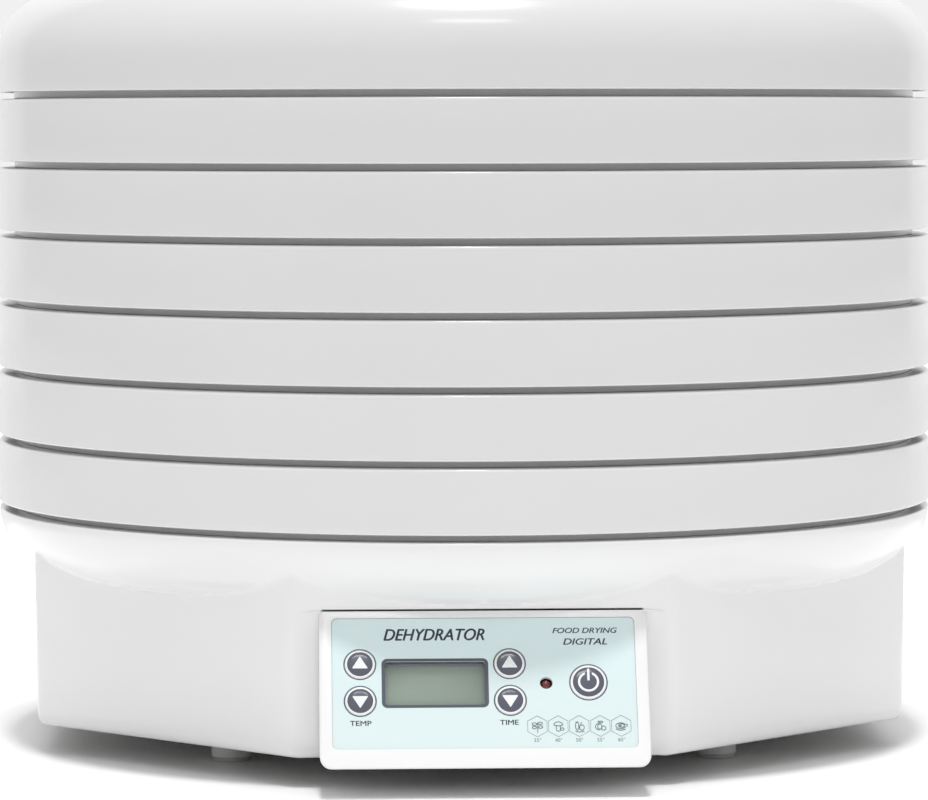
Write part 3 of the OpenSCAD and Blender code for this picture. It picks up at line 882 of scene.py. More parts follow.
@dataclass
class BaseShell:
    """The base: eight flat walls that swell into a round bowl and rim. Sizes in millimetres."""

    shell: float = 3.0
    bowl_r: float = 30.0
    bowl_drop: float = 2.2
    apothem: float = 178.8
    corner_r: float = 5.0
    draft: float = 0.7
    blend: float = 0.5
    foot_edge: float = 6.5
    rim_edge: float = 0.9
    lip: float = 1.8
    steps: int = 512
    row: float = 0.75

    def __post_init__(self) -> None:
        """Takes the shell's height and radius from the CAD."""
        low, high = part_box("base_housing")
        self.low, self.top = low.z / MM, high.z / MM - self.lip
        self.rim_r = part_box("tray_6")[1].x / MM

    def wall_radius(self, angle: float, z: float) -> float:
        """Distance from the axis to the eight-sided wall.

        Args:
            angle: Direction from the axis, in radians.
            z: Height in millimetres.

        Returns:
            The distance in millimetres.
        """
        eighth = TURN / 8
        apothem = self.apothem - self.draft * (self.top - z) / (self.top - self.low)
        off_face = (angle + eighth / 2) % eighth - eighth / 2
        off_corner = eighth / 2 - abs(off_face)
        centre = (apothem - self.corner_r) / math.cos(eighth / 2)
        touch = math.atan2(self.corner_r * math.sin(eighth / 2),
                           centre + self.corner_r * math.cos(eighth / 2))
        if off_corner > touch:
            return apothem / math.cos(off_face)
        across = centre * math.sin(off_corner)
        return centre * math.cos(off_corner) + math.sqrt(self.corner_r ** 2 - across ** 2)

    def bowl_radius(self, z: float) -> float:
        """Distance from the axis to the bowl at a height, or 0 below it.

        Args:
            z: Height in millimetres.

        Returns:
            The distance in millimetres.
        """
        drop = self.top + self.bowl_drop - z
        if abs(drop) >= self.bowl_r:
            return 0.0
        return self.rim_r - self.bowl_r + math.sqrt(self.bowl_r ** 2 - drop ** 2)

    def radius(self, angle: float, z: float) -> float:
        """Distance from the axis to the outside, with a soft crease under the bowl.

        Args:
            angle: Direction from the axis, in radians.
            z: Height in millimetres.

        Returns:
            The distance in millimetres.
        """
        wall, bowl = self.wall_radius(angle, z), self.bowl_radius(z)
        overlap = max(self.blend - abs(wall - bowl), 0.0) / self.blend
        return max(wall, bowl) + overlap ** 2 * self.blend / 4

    def section(self) -> list[Corner]:
        """The section of a plain tube with flange and lip, which is then pushed to shape.

        Returns:
            The section's corners.
        """
        out, inner = self.rim_r, self.rim_r - self.shell
        lip_out = self.rim_r - 9.8
        lip_in = lip_out - 2.0
        bottom = self.top - 31
        rows = [bottom + self.row * i for i in range(1, int((self.top - 2 - bottom) / self.row))]
        wall_rows = [self.low + 8 + 6 * i for i in range(int((bottom - self.low - 8) / 6) + 1)]
        return [
            (inner, self.low, 0.3), (out, self.low, self.foot_edge),
            *[(out, z, 0) for z in wall_rows + rows],
            (out, self.top, self.rim_edge), (lip_out, self.top, 0),
            (lip_out, self.top + self.lip, 0.5), (lip_in, self.top + self.lip, 0.5),
            (lip_in, self.top - self.shell, 0.3), (inner, self.top - self.shell, 0),
            *[(inner, z, 0) for z in reversed(wall_rows + rows[::4])
              if z < self.top - self.shell - 0.5],
        ]

    def push(self, bm: bmesh.types.BMesh) -> None:
        """Moves both skins of the tube to the eight-sided wall and the bowl.

        Args:
            bm: The turned tube.
        """
        skin = self.rim_r - self.shell - 0.01
        for vert in bm.verts:
            r = math.hypot(vert.co.x, vert.co.y) / MM
            if r < skin:
                continue
            angle, z = math.atan2(vert.co.y, vert.co.x), vert.co.z / MM
            wanted = r - self.rim_r + self.radius(angle, min(z, self.top))
            if wanted > 0:
                vert.co.x *= wanted / r
                vert.co.y *= wanted / r

    def bosses(self) -> bmesh.types.BMesh:
        """The screw bosses inside the walls and under the rim.

        Returns:
            A new mesh.
        """
        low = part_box("bottom_cover")[0].z / MM + 2.5
        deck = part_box("air_deck")[0].z / MM + 2
        made, bore = bmesh.new(), 1.46
        for out, z0, z1, away, places in [(5, low, low + 22, 0.1852, turned(8, 22.5)),
                                          (4, deck - 16, deck, 0.178, turned(6, 30))]:
            boss = lathe([(out, z0, 0.4), (out, z1, 0.4), (bore, z1, 0.3), (bore, z0, 0.3)], 32, 2)
            join(made, copies(moved(boss, Matrix.Translation((away, 0, 0))), places))
        return made

    def openings(self) -> bmesh.types.BMesh:
        """What is cut out of the walls: the console's window and the cord gland's.

        Returns:
            A new mesh.
        """
        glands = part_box("cord_gland")
        centre = (glands[0] + glands[1]) / 2 / MM
        made = block((105, 24, 47), (0, -self.apothem, 39.5))
        join(made, block((13.6, 24, 11.6), (centre.x, self.apothem, centre.z)))
        for x in (-57, 57):
            for z in (20, 56):
                hole = lathe([(0, -8, 0), (1.8, -8, 0), (1.8, 8, 0), (0, 8, 0)], 24)
                turn = Matrix.Translation((x * MM, -self.apothem * MM, z * MM))
                join(made, hole, turn @ Matrix.Rotation(math.pi / 2, 4, "X"))
        return made

    def build(self, palette: Palette) -> None:
        """Builds the shell and puts it on the base.

        Args:
            palette: Where its finish comes from.
        """
        made = lathe(self.section(), self.steps)
        self.push(made)
        bmesh.ops.recalc_face_normals(made, faces=made.faces[:])
        piece = make_object("base_shell", made, 40.0)
        carve(piece, self.openings())
        whole = bmesh.new()
        whole.from_mesh(piece.data)
        join(whole, self.bosses())
        whole.to_mesh(piece.data)
        whole.free()
        palette.settle(piece, "base", "white_shell", ["base_housing"])


@dataclass
class Underside:
    """The feet, their pads and the cord gland. Sizes in millimetres."""

    foot_r: float = 8.0
    pad_r: float = 7.5
    pad_t: float = 1.5

    def feet(self, palette: Palette) -> None:
        """The four moulded feet and their rubber pads.

        Args:
            palette: Where their finishes come from.
        """
        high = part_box("feet")[1]
        at = high.x - self.foot_r * MM
        places = [Matrix.Translation((x, y, 0)) for x in (-at, at) for y in (-at, at)]
        top = high.z / MM
        foot = lathe([(self.foot_r, self.pad_t, 0.8), (self.foot_r, top - 1.5, 1.0),
                      (self.foot_r - 0.4, top, 0.3), (1.8, top, 0.3), (1.8, 4, 0),
                      (0, 4, 0), (0, self.pad_t, 0)], 64, 3)
        pad = lathe([(self.pad_r, 0, 0.4), (self.pad_r, self.pad_t, 0.2), (0, self.pad_t, 0),
                     (0, 0, 0)], 64, 3)
        palette.settle(make_object("moulded_feet", copies(foot, places)), "base",
                       "foot_plastic", ["feet"])
        palette.settle(make_object("rubber_pads", copies(pad, places)), "base",
                       "pad_rubber", ["foot_pads"])

    def gland(self, palette: Palette) -> None:
        """The cord gland: a rounded flange on the back wall with an open bore.

        Args:
            palette: Where its finish comes from.
        """
        low, high = (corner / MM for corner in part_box("cord_gland"))
        centre, size = (low + high) / 2, high - low
        flange, body, bore_r, reach = 3.0, (13.4, 11.4), 3.6, 20
        made = block((size.x, flange, size.z), (centre.x, high.y - flange / 2, centre.z), 1.2, 3)
        # A hair's gap: the cut needs two shells that don't touch.
        inner = size.y - flange - 0.02
        join(made, block((body[0], inner, body[1]), (centre.x, low.y + inner / 2, centre.z), 0.5))
        piece = make_object("cord_gland_body", made)
        bore = lathe([(0, -reach, 0), (bore_r, -reach, 0), (bore_r, reach, 0), (0, reach, 0)], 48)
        place = Matrix.Translation(centre * MM) @ Matrix.Rotation(math.pi / 2, 4, "X")
        carve(piece, moved(bore, place))
        palette.settle(piece, "base", "gland_nylon", ["cord_gland"])

    def build(self, palette: Palette) -> None:
        """Builds the feet, the pads and the gland."""
        self.feet(palette)
        self.gland(palette)


# ---- Console ------------------------------------------------------------------------


@dataclass
class Panel:
    """The sloping panel's own coordinates: u to the right, v down the slope, w out of it."""

    tilt: float = 28.0
    apothem: float = 178.8

    def __post_init__(self) -> None:
        """Takes the panel's top edge from the CAD."""
        low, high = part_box("console")
        self.low_z, self.top_z = low.z / MM, high.z / MM
        self.width = (high.x - low.x) / MM
        self.length = (self.top_z - self.low_z) / math.cos(math.radians(self.tilt))

    def at(self, u: float = 0.0, v: float = 0.0, w: float = 0.0) -> Matrix:
        """A matrix that stands a part, drawn in XY with Z out, on the panel.

        Args:
            u: Millimetres to the right of the middle.
            v: Millimetres down the slope from the top edge.
            w: Millimetres out of the panel's face.

        Returns:
            The matrix.
        """
        edge = Matrix.Translation((0, -self.apothem * MM, self.top_z * MM))
        turn = Matrix.Rotation(math.radians(90 - self.tilt), 4, "X")
        return edge @ turn @ Matrix.Translation((u * MM, -v * MM, w * MM))


def slab(corners: Sequence[Corner], low: float, high: float,
         segments: int = 4) -> bmesh.types.BMesh:
    """A flat piece with rounded corners, drawn in XY and raised along Z.

    Args:
        corners: The outline's corners, as x, y and corner radius in millimetres.
        low: Height of its back in millimetres.
        high: Height of its front.
        segments: Segments of each corner.

    Returns:
        A new mesh.
    """
    bm = bmesh.new()
    outline(bm, corners, segments)
    bmesh.ops.rotate(bm, verts=bm.verts[:], matrix=Matrix.Rotation(-math.pi / 2, 3, "X"))
    bmesh.ops.translate(bm, verts=bm.verts[:], vec=(0, 0, low * MM))
    grown = bmesh.ops.extrude_face_region(bm, geom=bm.faces[:])
    front = [v for v in grown["geom"] if isinstance(v, bmesh.types.BMVert)]
    bmesh.ops.translate(bm, verts=front, vec=(0, 0, (high - low) * MM))
    bmesh.ops.recalc_face_normals(bm, faces=bm.faces[:])
    return bm


def plate(width: float, height: float, thick: float, top_r: float, low_r: float,
          segments: int = 6) -> bmesh.types.BMesh:
    """A flat plate with rounded corners, its top edge at Y = 0 and its back at Z = 0.

    Args:
        width: Its width in millimetres.
        height: Its height in millimetres.
        thick: Its thickness in millimetres.
        top_r: Radius of its two top corners.
        low_r: Radius of its two bottom corners.
        segments: Segments of each corner.

    Returns:
        A new mesh.
    """
    half = width / 2
    return slab([(-half, -height, low_r), (half, -height, low_r), (half, 0, top_r),
                 (-half, 0, top_r)], 0, thick, segments)


def disc(radius: float, low: float, high: float, edge: float = 0.0,
         steps: int = 64) -> bmesh.types.BMesh:
    """A flat disc with a rounded top edge, in millimetres along Z."""
    return lathe([(0, low, 0), (radius, low, 0), (radius, high, edge), (0, high, 0)], steps, 3)


class KeySymbol(Enum):
    """What is printed on a key."""

    UP = "up"
    DOWN = "down"
    POWER = "power"


@dataclass
class Key:
    """One round key: a white cap with a slate face and a white symbol. Sizes in millimetres."""

    node: str
    symbol: KeySymbol
    u: float
    v: float
    radius: float = 5.85
    low: float = -2.7
    rim: float = -0.1
    crown: float = 0.42

    def cap(self) -> bmesh.types.BMesh:
        """The white cap with its flange and stem."""
        r = self.radius
        return lathe([
            (0, -7.5, 0), (1.7, -7.5, 0.3), (1.7, -3.6, 0), (r + 1, -3.6, 0.2),
            (r + 1, -2.6, 0.2), (r, -2.6, 0), (r, self.rim - 0.1, 0.45),
            (r - 0.8, self.rim + 0.1, 0.2), (0, self.rim + 0.1, 0)], 72, 3)

    def face(self) -> bmesh.types.BMesh:
        """The slate face, a shallow dome."""
        r = self.radius - 0.85
        return lathe([(0, self.rim - 0.3, 0), (r, self.rim - 0.3, 0), (r, self.rim + 0.12, 0.1),
                      (r * 0.72, self.rim + self.crown * 0.62, r * 0.9),
                      (0, self.rim + self.crown, 0)], 72, 3)

    def mark(self) -> bmesh.types.BMesh:
        """The white symbol: a triangle, or a ring with a bar.

        Returns:
            A new mesh.
        """
        low, high = self.rim, self.rim + self.crown + 0.06
        if self.symbol is KeySymbol.POWER:
            ring = lathe([(4.1, low, 0), (4.1, high, 0.1), (3.2, high, 0.1), (3.2, low, 0)],
                         64, 1)
            notch = block((2.7, 3.4, 3), (0, 3.6, (low + high) / 2))
            bar = block((0.95, 4.9, high - low), (0, 2.9, (low + high) / 2), 0.1, 1)
            return join(carved(ring, notch), bar)
        side = -1 if self.symbol is KeySymbol.DOWN else 1
        half, base, tip, corner_r = 3.1, -1.85 * side, 3.1 * side, 0.25
        return slab([(-half, base, corner_r), (half, base, corner_r), (0, tip, corner_r)],
                    low, high)

    def build(self, panel: Panel, palette: Palette) -> None:
        """Builds the key on its own body.

        Args:
            panel: The panel that it sits in.
            palette: Where its finishes come from.
        """
        place = panel.at(self.u, self.v)
        for part, shape, paint, stands_for in [
            ("cap", self.cap(), Paint.WHITE_INK, [self.node]),
            ("face", self.face(), None, []),
            ("symbol", self.mark(), Paint.WHITE_INK, []),
        ]:
            piece = make_object(f"{self.node}_{part}", moved(shape, place))
            palette.settle(piece, self.node, "key_slate", stands_for, paint)


@dataclass
class LabelPrint:
    """The print on the label: words, rings round the keys and five food signs."""

    panel: Panel
    level: float = -0.5
    ink: float = 0.05

    def words(self, text: str, u: float, v: float, cap: float, shear: float = 0.0,
              weight: float = 0.0, width: float | None = None) -> bmesh.types.BMesh:
        """A line of generic words or numbers, centred on a point.

        Args:
            text: The words.
            u: The middle, to the right.
            v: The middle, down the slope.
            cap: Height of the letters.
            shear: How far they lean.
            weight: How much bolder than regular.
            width: The line's full width, or None for the letters' own.

        Returns:
            A new mesh.
        """
        font = bpy.data.curves.new("words", "FONT")
        font.body = text
        font.shear = shear
        font.offset = weight
        font.extrude = 0.01
        bm = from_curve(font)
        xs = [v.co.x for v in bm.verts]
        ys = [v.co.y for v in bm.verts]
        tall = cap * MM / (max(ys) - min(ys))
        wide = width * MM / (max(xs) - min(xs)) if width else tall
        middle = Matrix.Translation((-(max(xs) + min(xs)) / 2, -(max(ys) + min(ys)) / 2, 0))
        thick = self.ink * MM / 0.02
        place = self.panel.at(u, v, self.level) @ Matrix.Diagonal((wide, tall, thick, 1)) @ middle
        return moved(bm, place)

    def ring(self, u: float, v: float, radius: float, width: float) -> bmesh.types.BMesh:
        """A thin printed ring.

        Args:
            u: Its middle, to the right.
            v: Its middle, down the slope.
            radius: Its inner radius.
            width: The line's width.

        Returns:
            A new mesh.
        """
        low, top = self.level - 0.05, self.level + self.ink
        bm = lathe([(radius + width, low, 0), (radius + width, top, 0), (radius, top, 0),
                    (radius, low, 0)], 96, 1)
        return moved(bm, self.panel.at(u, v))

    def stroke(self, u: float, v: float, points: Sequence[tuple[float, float]],
               width: float = 0.1) -> bmesh.types.BMesh:
        """A thin drawn line through points about a middle.

        Args:
            u: The middle, to the right.
            v: The middle, down the slope.
            points: The line's points, from the middle.
            width: The line's radius.

        Returns:
            A new mesh.
        """
        place = self.panel.at(u, v, self.level)
        path = [place @ Vector((x * MM, y * MM, 0)) for x, y in points]
        return tube([path], width * MM, sides=0)

    def hexagon(self, u: float, v: float, radius: float) -> bmesh.types.BMesh:
        """A six-sided outline that stands on a point."""
        corners = [(radius * math.sin(i * TURN / 6), radius * math.cos(i * TURN / 6))
                   for i in range(7)]
        return self.stroke(u, v, corners)


def arc(x: float, y: float, rx: float, ry: float, start: float, end: float,
        count: int = 14) -> list[tuple[float, float]]:
    """Points along part of an ellipse, from one angle to another in degrees."""
    angles = [math.radians(start + (end - start) * i / count) for i in range(count + 1)]
    return [(x + rx * math.cos(a), y + ry * math.sin(a)) for a in angles]


class FoodSign(Enum):
    """Line drawings of five kinds of food, each as arcs: x, y, rx, ry, start, end."""

    HERB = ((0, -0.6, 0.15, 2.0, -90, 90), (-1.1, 0.9, 0.9, 0.55, 0, 360),
            (1.1, 1.2, 0.9, 0.5, 0, 360), (-1.1, -0.5, 0.9, 0.5, 0, 360),
            (1.2, -0.3, 0.9, 0.5, 0, 360))
    MUSHROOM = ((0, 0.5, 1.7, 1.3, 0, 180), (0, 0.5, 1.7, 0.35, 180, 360),
                (-0.6, -0.7, 0.2, 1.1, 90, 270), (0.6, -0.7, 0.2, 1.1, -90, 90),
                (0, -1.8, 0.6, 0.2, 180, 360), (1.5, -1.2, 0.7, 0.5, 0, 360))
    VEGETABLE = ((-0.8, 0.0, 0.65, 1.7, 0, 360), (-0.8, 2.0, 0.5, 0.5, 200, 340),
                 (1.0, -0.6, 0.95, 1.1, 0, 360), (1.0, 0.9, 0.3, 0.6, 90, 260),
                 (0.2, -2.0, 1.6, 0.4, 180, 360))
    FRUIT = ((-0.6, -0.3, 1.25, 1.3, 0, 360), (-0.4, 1.3, 0.5, 0.7, 90, 180),
             (1.3, -0.9, 0.9, 0.85, 0, 360), (0.3, 1.6, 0.75, 0.35, 0, 360),
             (-0.6, -0.3, 0.4, 0.9, 60, 300))
    MEAT = ((-0.2, 0.0, 1.9, 1.2, 20, 340), (0.1, 0.1, 1.2, 0.7, 0, 360),
            (1.9, 0.2, 0.5, 0.45, -110, 110), (-0.3, 0.0, 0.35, 0.25, 0, 360),
            (-0.2, -1.0, 1.9, 0.8, 190, 340))


@dataclass
class Console:
    """The sloping control console with its label, display, lamp and keys. Millimetres."""

    panel: Panel = field(default_factory=Panel)
    skin: float = 2.5
    edge: float = 1.1
    label_w: float = 117.0
    label_h: float = 53.6
    label_v: float = 30.5
    recess: float = 1.0
    lcd: tuple[float, float] = (-18.9, 30.4)
    lcd_size: tuple[float, float] = (38.8, 17.9)
    led: tuple[float, float] = (23.9, 30.6)
    led_r: float = 2.25
    lcd_r: float = 1.2
    hole_fit: float = 0.2
    sign_row: tuple[float, ...] = (20.0, 28.05, 36.1, 44.2, 52.25)
    sign_v: float = 48.4
    heat_v: float = 54.0
    strike: float = 0.03

    def lcd_place(self, tall: float, w: float) -> Matrix:
        """Where a plate of a height goes to stand round the display's middle."""
        return self.panel.at(self.lcd[0], self.lcd[1] - tall / 2, w)

    def keys(self) -> list[Key]:
        """The five keys."""
        return [
            Key("key_temp_up", KeySymbol.UP, -47.8, 22.6),
            Key("key_temp_down", KeySymbol.DOWN, -47.8, 37.7),
            Key("key_time_up", KeySymbol.UP, 9.9, 22.6),
            Key("key_time_down", KeySymbol.DOWN, 9.9, 37.7),
            Key("key_power", KeySymbol.POWER, 40.2, 30.5, 6.95),
        ]

    def wedge(self, inset: float, top: float) -> bmesh.types.BMesh:
        """The wedge between the panel, the base's wall and the bottom edge.

        Args:
            inset: How far its sides and bottom are set in.
            top: How far down the slope its top edge is.

        Returns:
            A new mesh.
        """
        p = self.panel
        low_r = 4.5 if inset == 0 else 2.0
        deep = 60
        made = moved(plate(p.width - 2 * inset, p.length + 30 - top, deep, 2.0, 0.01, 8),
                     p.at(0, top, -deep - inset))
        back = p.apothem if inset == 0 else p.apothem - 4
        for point, normal in [((0, -back * MM, 0), (0, 1, 0)),
                              ((0, 0, (p.low_z + inset) * MM), (0, 0, -1))]:
            cut = bmesh.ops.bisect_plane(made, geom=made.verts[:] + made.edges[:] + made.faces[:],
                                         plane_co=point, plane_no=normal, clear_outer=True)
            rim = [e for e in cut["geom_cut"] if isinstance(e, bmesh.types.BMEdge)]
            bmesh.ops.contextual_create(made, geom=rim)
        bmesh.ops.remove_doubles(made, verts=made.verts[:], dist=TOUCH)
        bmesh.ops.recalc_face_normals(made, faces=made.faces[:])
        if inset == 0:
            self.round_edges(made, low_r)
        return made

    def round_edges(self, bm: bmesh.types.BMesh, low_r: float) -> None:
        """Rounds the wedge's bottom corners and then the edge all round its face.

        Args:
            bm: The wedge.
            low_r: Radius of the bottom corners.
        """
        out = self.panel.at().to_3x3() @ Vector((0, 0, 1))
        face = max(bm.faces, key=lambda f: f.calc_area() * max(0.0, f.normal.dot(out)))
        low = min(v.co.z for v in face.verts)
        corner = [e for e in bm.edges if all(abs(v.co.z - low) < 1e-6 for v in e.verts)
                  and e not in face.edges and abs(e.verts[0].co.x - e.verts[1].co.x) < 1e-6]
        bmesh.ops.bevel(bm, geom=corner, offset=low_r * MM, offset_type="OFFSET", segments=8,
                        profile=0.5, affect="EDGES", material=-1)
        face = max(bm.faces, key=lambda f: f.calc_area() * max(0.0, f.normal.dot(out)))
        bmesh.ops.bevel(bm, geom=face.edges[:], offset=self.edge * MM, offset_type="OFFSET",
                        segments=4, profile=0.5, affect="EDGES", material=-1)

    def holes(self, low: float, high: float) -> bmesh.types.BMesh:
        """Cutters for the keys, the display and the lamp, between two levels.

        Args:
            low: The lower level.
            high: The upper level.

        Returns:
            A new mesh.
        """
        made = bmesh.new()
        for key in self.keys():
            join(made, disc(key.radius + self.hole_fit, low, high),
                 self.panel.at(key.u, key.v))
        join(made, disc(self.led_r + self.hole_fit, low, high, steps=48),
             self.panel.at(*self.led))
        wide, tall = self.lcd_size
        window = plate(wide, tall, high - low, self.lcd_r, self.lcd_r)
        return join(made, window, self.lcd_place(tall, low))

    def shell(self, palette: Palette) -> None:
        """The white shell, with its recess for the label and its hollow.

        Args:
            palette: Where its finish comes from.
        """
        piece = make_object("console_shell", self.wedge(0, 0), 30.0)
        fit = 0.4
        recess = plate(self.label_w + fit, self.label_h + fit, 5, 2.2, 2.2)
        top = self.label_v - self.label_h / 2 - fit / 2
        carve(piece, moved(recess, self.panel.at(0, top, -self.recess)))
        carve(piece, self.holes(-self.skin - 2, 1))
        carve(piece, self.wedge(self.skin, 8))
        palette.settle(piece, "base", "white_shell", ["console"])

    def label(self, palette: Palette) -> None:
        """The mint label in the recess.

        Args:
            palette: Where its finish comes from.
        """
        made = plate(self.label_w, self.label_h, 0.5, 2, 2)
        top = self.label_v - self.label_h / 2
        piece = make_object("mint_label", moved(made, self.panel.at(0, top, -self.recess)))
        carve(piece, self.holes(-self.skin - 2, 1))
        palette.settle(piece, "base", "mint_label", ["label_sheet"])

    def prints(self, palette: Palette) -> None:
        """The slate and grey print on the label.

        Args:
            palette: Where its inks come from.
        """
        draw = LabelPrint(self.panel)
        slate, grey = bmesh.new(), bmesh.new()
        for key in self.keys():
            join(slate, draw.ring(key.u, key.v, key.radius + 0.22, 0.3))
        wide, tall = self.lcd_size
        side, ends = 2.4, 2.3
        ring = moved(plate(wide + side, tall + ends, 0.08, 2.2, 2.2),
                     self.lcd_place(tall + ends, draw.level - 0.03))
        window = moved(plate(wide, tall, 4, self.lcd_r, self.lcd_r), self.lcd_place(tall, -2))
        join(slate, carved(ring, window))
        for text, u, v, cap, shear, width in [
            ("DEHYDRATOR", -19.0, 10.4, 4.8, 0.3, 39.0),
            ("FOOD DRYING", 39.4, 9.0, 2.2, 0.25, 25.0),
            ("DIGITAL", 39.4, 13.6, 2.6, 0.25, 17.0), ("TEMP", -47.7, 46.7, 2.0, 0, 8.2),
            ("TIME", 9.3, 46.7, 2.0, 0, 7.1),
        ]:
            for strike in (-1, 0, 1):
                shift = strike * self.strike * cap
                join(slate, draw.words(text, u + shift, v + shift / 2, cap, shear, 0, width))
        for u, sign, heat in zip(self.sign_row, FoodSign, (35, 40, 50, 55, 60)):
            join(grey, draw.hexagon(u, self.sign_v, 4.3))
            for bow in sign.value:
                join(grey, draw.stroke(u, self.sign_v, arc(*bow), 0.17))
            join(grey, draw.words(f"{heat}\N{DEGREE SIGN}", u, self.heat_v, 1.5, 0, 0, 2.7))
        palette.settle(make_object("label_print", slate), "base", "mint_label", (), Paint.SLATE)
        palette.settle(make_object("label_signs", grey), "base", "mint_label", (),
                       Paint.GREY_INK)

    def display(self, palette: Palette) -> None:
        """The display's glass, carrier and window, its dark liners, which also paint shade in its
        recess, and the lamp.

        Args:
            palette: Where their finishes come from.
        """
        at = self.panel.at
        carrier = block((42, 22, 1.8), (0, 0, 0.9), 0.3)
        glass = block((40.8, 20, 1.2), (0, 0, 0.6), 0.15)
        window = block((42.4, 20.4, 0.6), (0, 0, 0.3), 0.1, 1)
        for name, shape, w, slot, node in [
            ("display_carrier", carrier, -9.0, "lcd_frame", "lcd_carrier"),
            ("display_glass", glass, -7.2, "lcd_glass", "lcd_display"),
            ("display_window", window, -3.1, "clear_window", "lcd_window"),
        ]:
            palette.settle(make_object(name, moved(shape, at(*self.lcd, w))), "base", slot,
                           [node])
        wide, tall = self.lcd_size
        # Dark liners on the walls of the display's recess. They are dark like the carrier behind
        # them, and they are also painted shade: they give the dark band that the recess's upper
        # edge shades onto the display.
        for name, low, high in (("display_well", -6.0, -3.15), ("display_rim", -2.45, -1.02)):
            well, core = (
                moved(plate(wide - cut, tall - cut, deep, self.lcd_r, self.lcd_r),
                      self.lcd_place(tall - cut, w))
                for cut, deep, w in ((0, high - low, low), (0.3, 9, -8)))
            piece = make_object(name, well)
            carve(piece, core)
            palette.settle(piece, "base", "lcd_frame")
        lamp = lathe([(0, -9, 0), (2.6, -9, 0.1), (2.6, -7.8, 0.1), (2.2, -7.8, 0),
                      (2.2, -1.5, 2.15), (0, -1.5, 0)], 48, 10)
        palette.settle(make_object("lamp", moved(lamp, at(*self.led))), "base", "led_red",
                       ["status_led"])

    def build(self, palette: Palette) -> None:
        """Builds the console and everything on it.

        Args:
            palette: Where its finishes come from.
        """
        # The label's two colours by height are painted light and shade: its upper part, which the
        # rim above shades, is painted a little lighter.
        FINISHES["mint_label"] = SheetWithPaintedLight(
            "mint_label", (0.665, 0.8, 0.81), (0.665, 0.775, 0.775),
            (self.panel.low_z + 8) * MM, (self.panel.top_z - 2) * MM)
        self.shell(palette)
        self.label(palette)
        self.prints(palette)
        self.display(palette)
        for key in self.keys():
            key.build(self.panel, palette)


# ---- Inner works --------------------------------------------------------------------


@dataclass
class InnerWorks:
    """The heater's coiled wire and the wires inside the base. Sizes in millimetres."""

    wire_r: float = 0.45
    pitch: float = 3.0
    points_per_turn: int = 10

    def heater(self, palette: Palette) -> None:
        """Two turns of resistance wire, each wound as a close helix."""
        for node in ("heater_coil_lower", "heater_coil_upper"):
            low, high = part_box(node)
            coil_r = (high.z - low.z) / 2 - self.wire_r * MM
            ring_r = high.x - (high.z - low.z) / 2
            middle = (low.z + high.z) / 2
            turns = int(TURN * ring_r / (self.pitch * MM))
            count = turns * self.points_per_turn
            path = []
            for i in range(count):
                around, wind = TURN * i / count, TURN * i / self.points_per_turn
                r = ring_r + coil_r * math.cos(wind)
                path.append(Vector((r * math.cos(around), r * math.sin(around),
                                    middle + coil_r * math.sin(wind))))
            made = tube([path], self.wire_r * MM, closed=True)
            palette.settle(make_object(f"{node}_wire", made, 60.0), "base", "heater_wire", [node])

    def wires(self, palette: Palette) -> None:
        """The five internal wires, each a smooth bend between its two ends."""
        for name, paint, radius, start, leave, end, arrive in [
            ("wire_live", Paint.RED, 1.1, (55, 146, 22), (0, -18, 0), (36, 138, 26), (16, 0, 0)),
            ("wire_neutral", Paint.BLUE, 1.1, (65, 146, 20), (0, -30, 0), (36, 112, 26),
             (22, 0, 0)),
            ("wire_motor_1", Paint.YELLOW, 1.1, (-36, 112, 26), (-26, 0, 0), (-34, 6, 43),
             (-24, 22, 0)),
            ("wire_motor_2", Paint.BLACK, 1.1, (-36, 118, 26), (-50, 0, 0), (-34, -6, 43),
             (-46, 16, 0)),
            ("wire_control", Paint.GREY, 1.4, (36, 106, 26), (60, -30, 0), (30, -150, 44),
             (110, 60, 0)),
        ]:
            a, b = Vector(start) * MM, Vector(end) * MM
            c, d = a + Vector(leave) * MM, b + Vector(arrive) * MM
            path = []
            for i in range(33):
                t = i / 32
                path.append((1 - t) ** 3 * a + 3 * t * (1 - t) ** 2 * c
                            + 3 * t * t * (1 - t) * d + t ** 3 * b)
            made = tube([path], radius * MM, sides=2)
            palette.settle(make_object(name, made, 60.0), "base", "wire_insulation", ["wiring"],
                           paint)

    def build(self, palette: Palette) -> None:
        """Builds the heater wire and the internal wires."""
        self.heater(palette)
        self.wires(palette)


def dress_carried(palette: Palette) -> None:
    """Gives each CAD piece that still shows its finish, with smooth curves and crisp edges.

    Args:
        palette: Where the finishes come from.
    """
    slots = {s["node"]: s["material_slot"] for s in frame["record"]["subparts"]}
    for name, node in frame["nodes"].items():
        palette.dress(node, palette.finish(slots[name]))
        if node.hide_render:
            continue
        node.data.shade_smooth()
        weld = node.modifiers.new("weld", "WELD")
        weld.merge_threshold = 1e-6
        split = node.modifiers.new("edges", "EDGE_SPLIT")
        split.split_angle = math.radians(30)
        LOG.info("%s: carried over", name)


# ---- Studio -------------------------------------------------------------------------


@dataclass(frozen=True)
class Card:
    """A card that lies on the floor and shines up. Lengths in metres."""

    name: str
    width: float
    depth: float
    x: float
    y: float


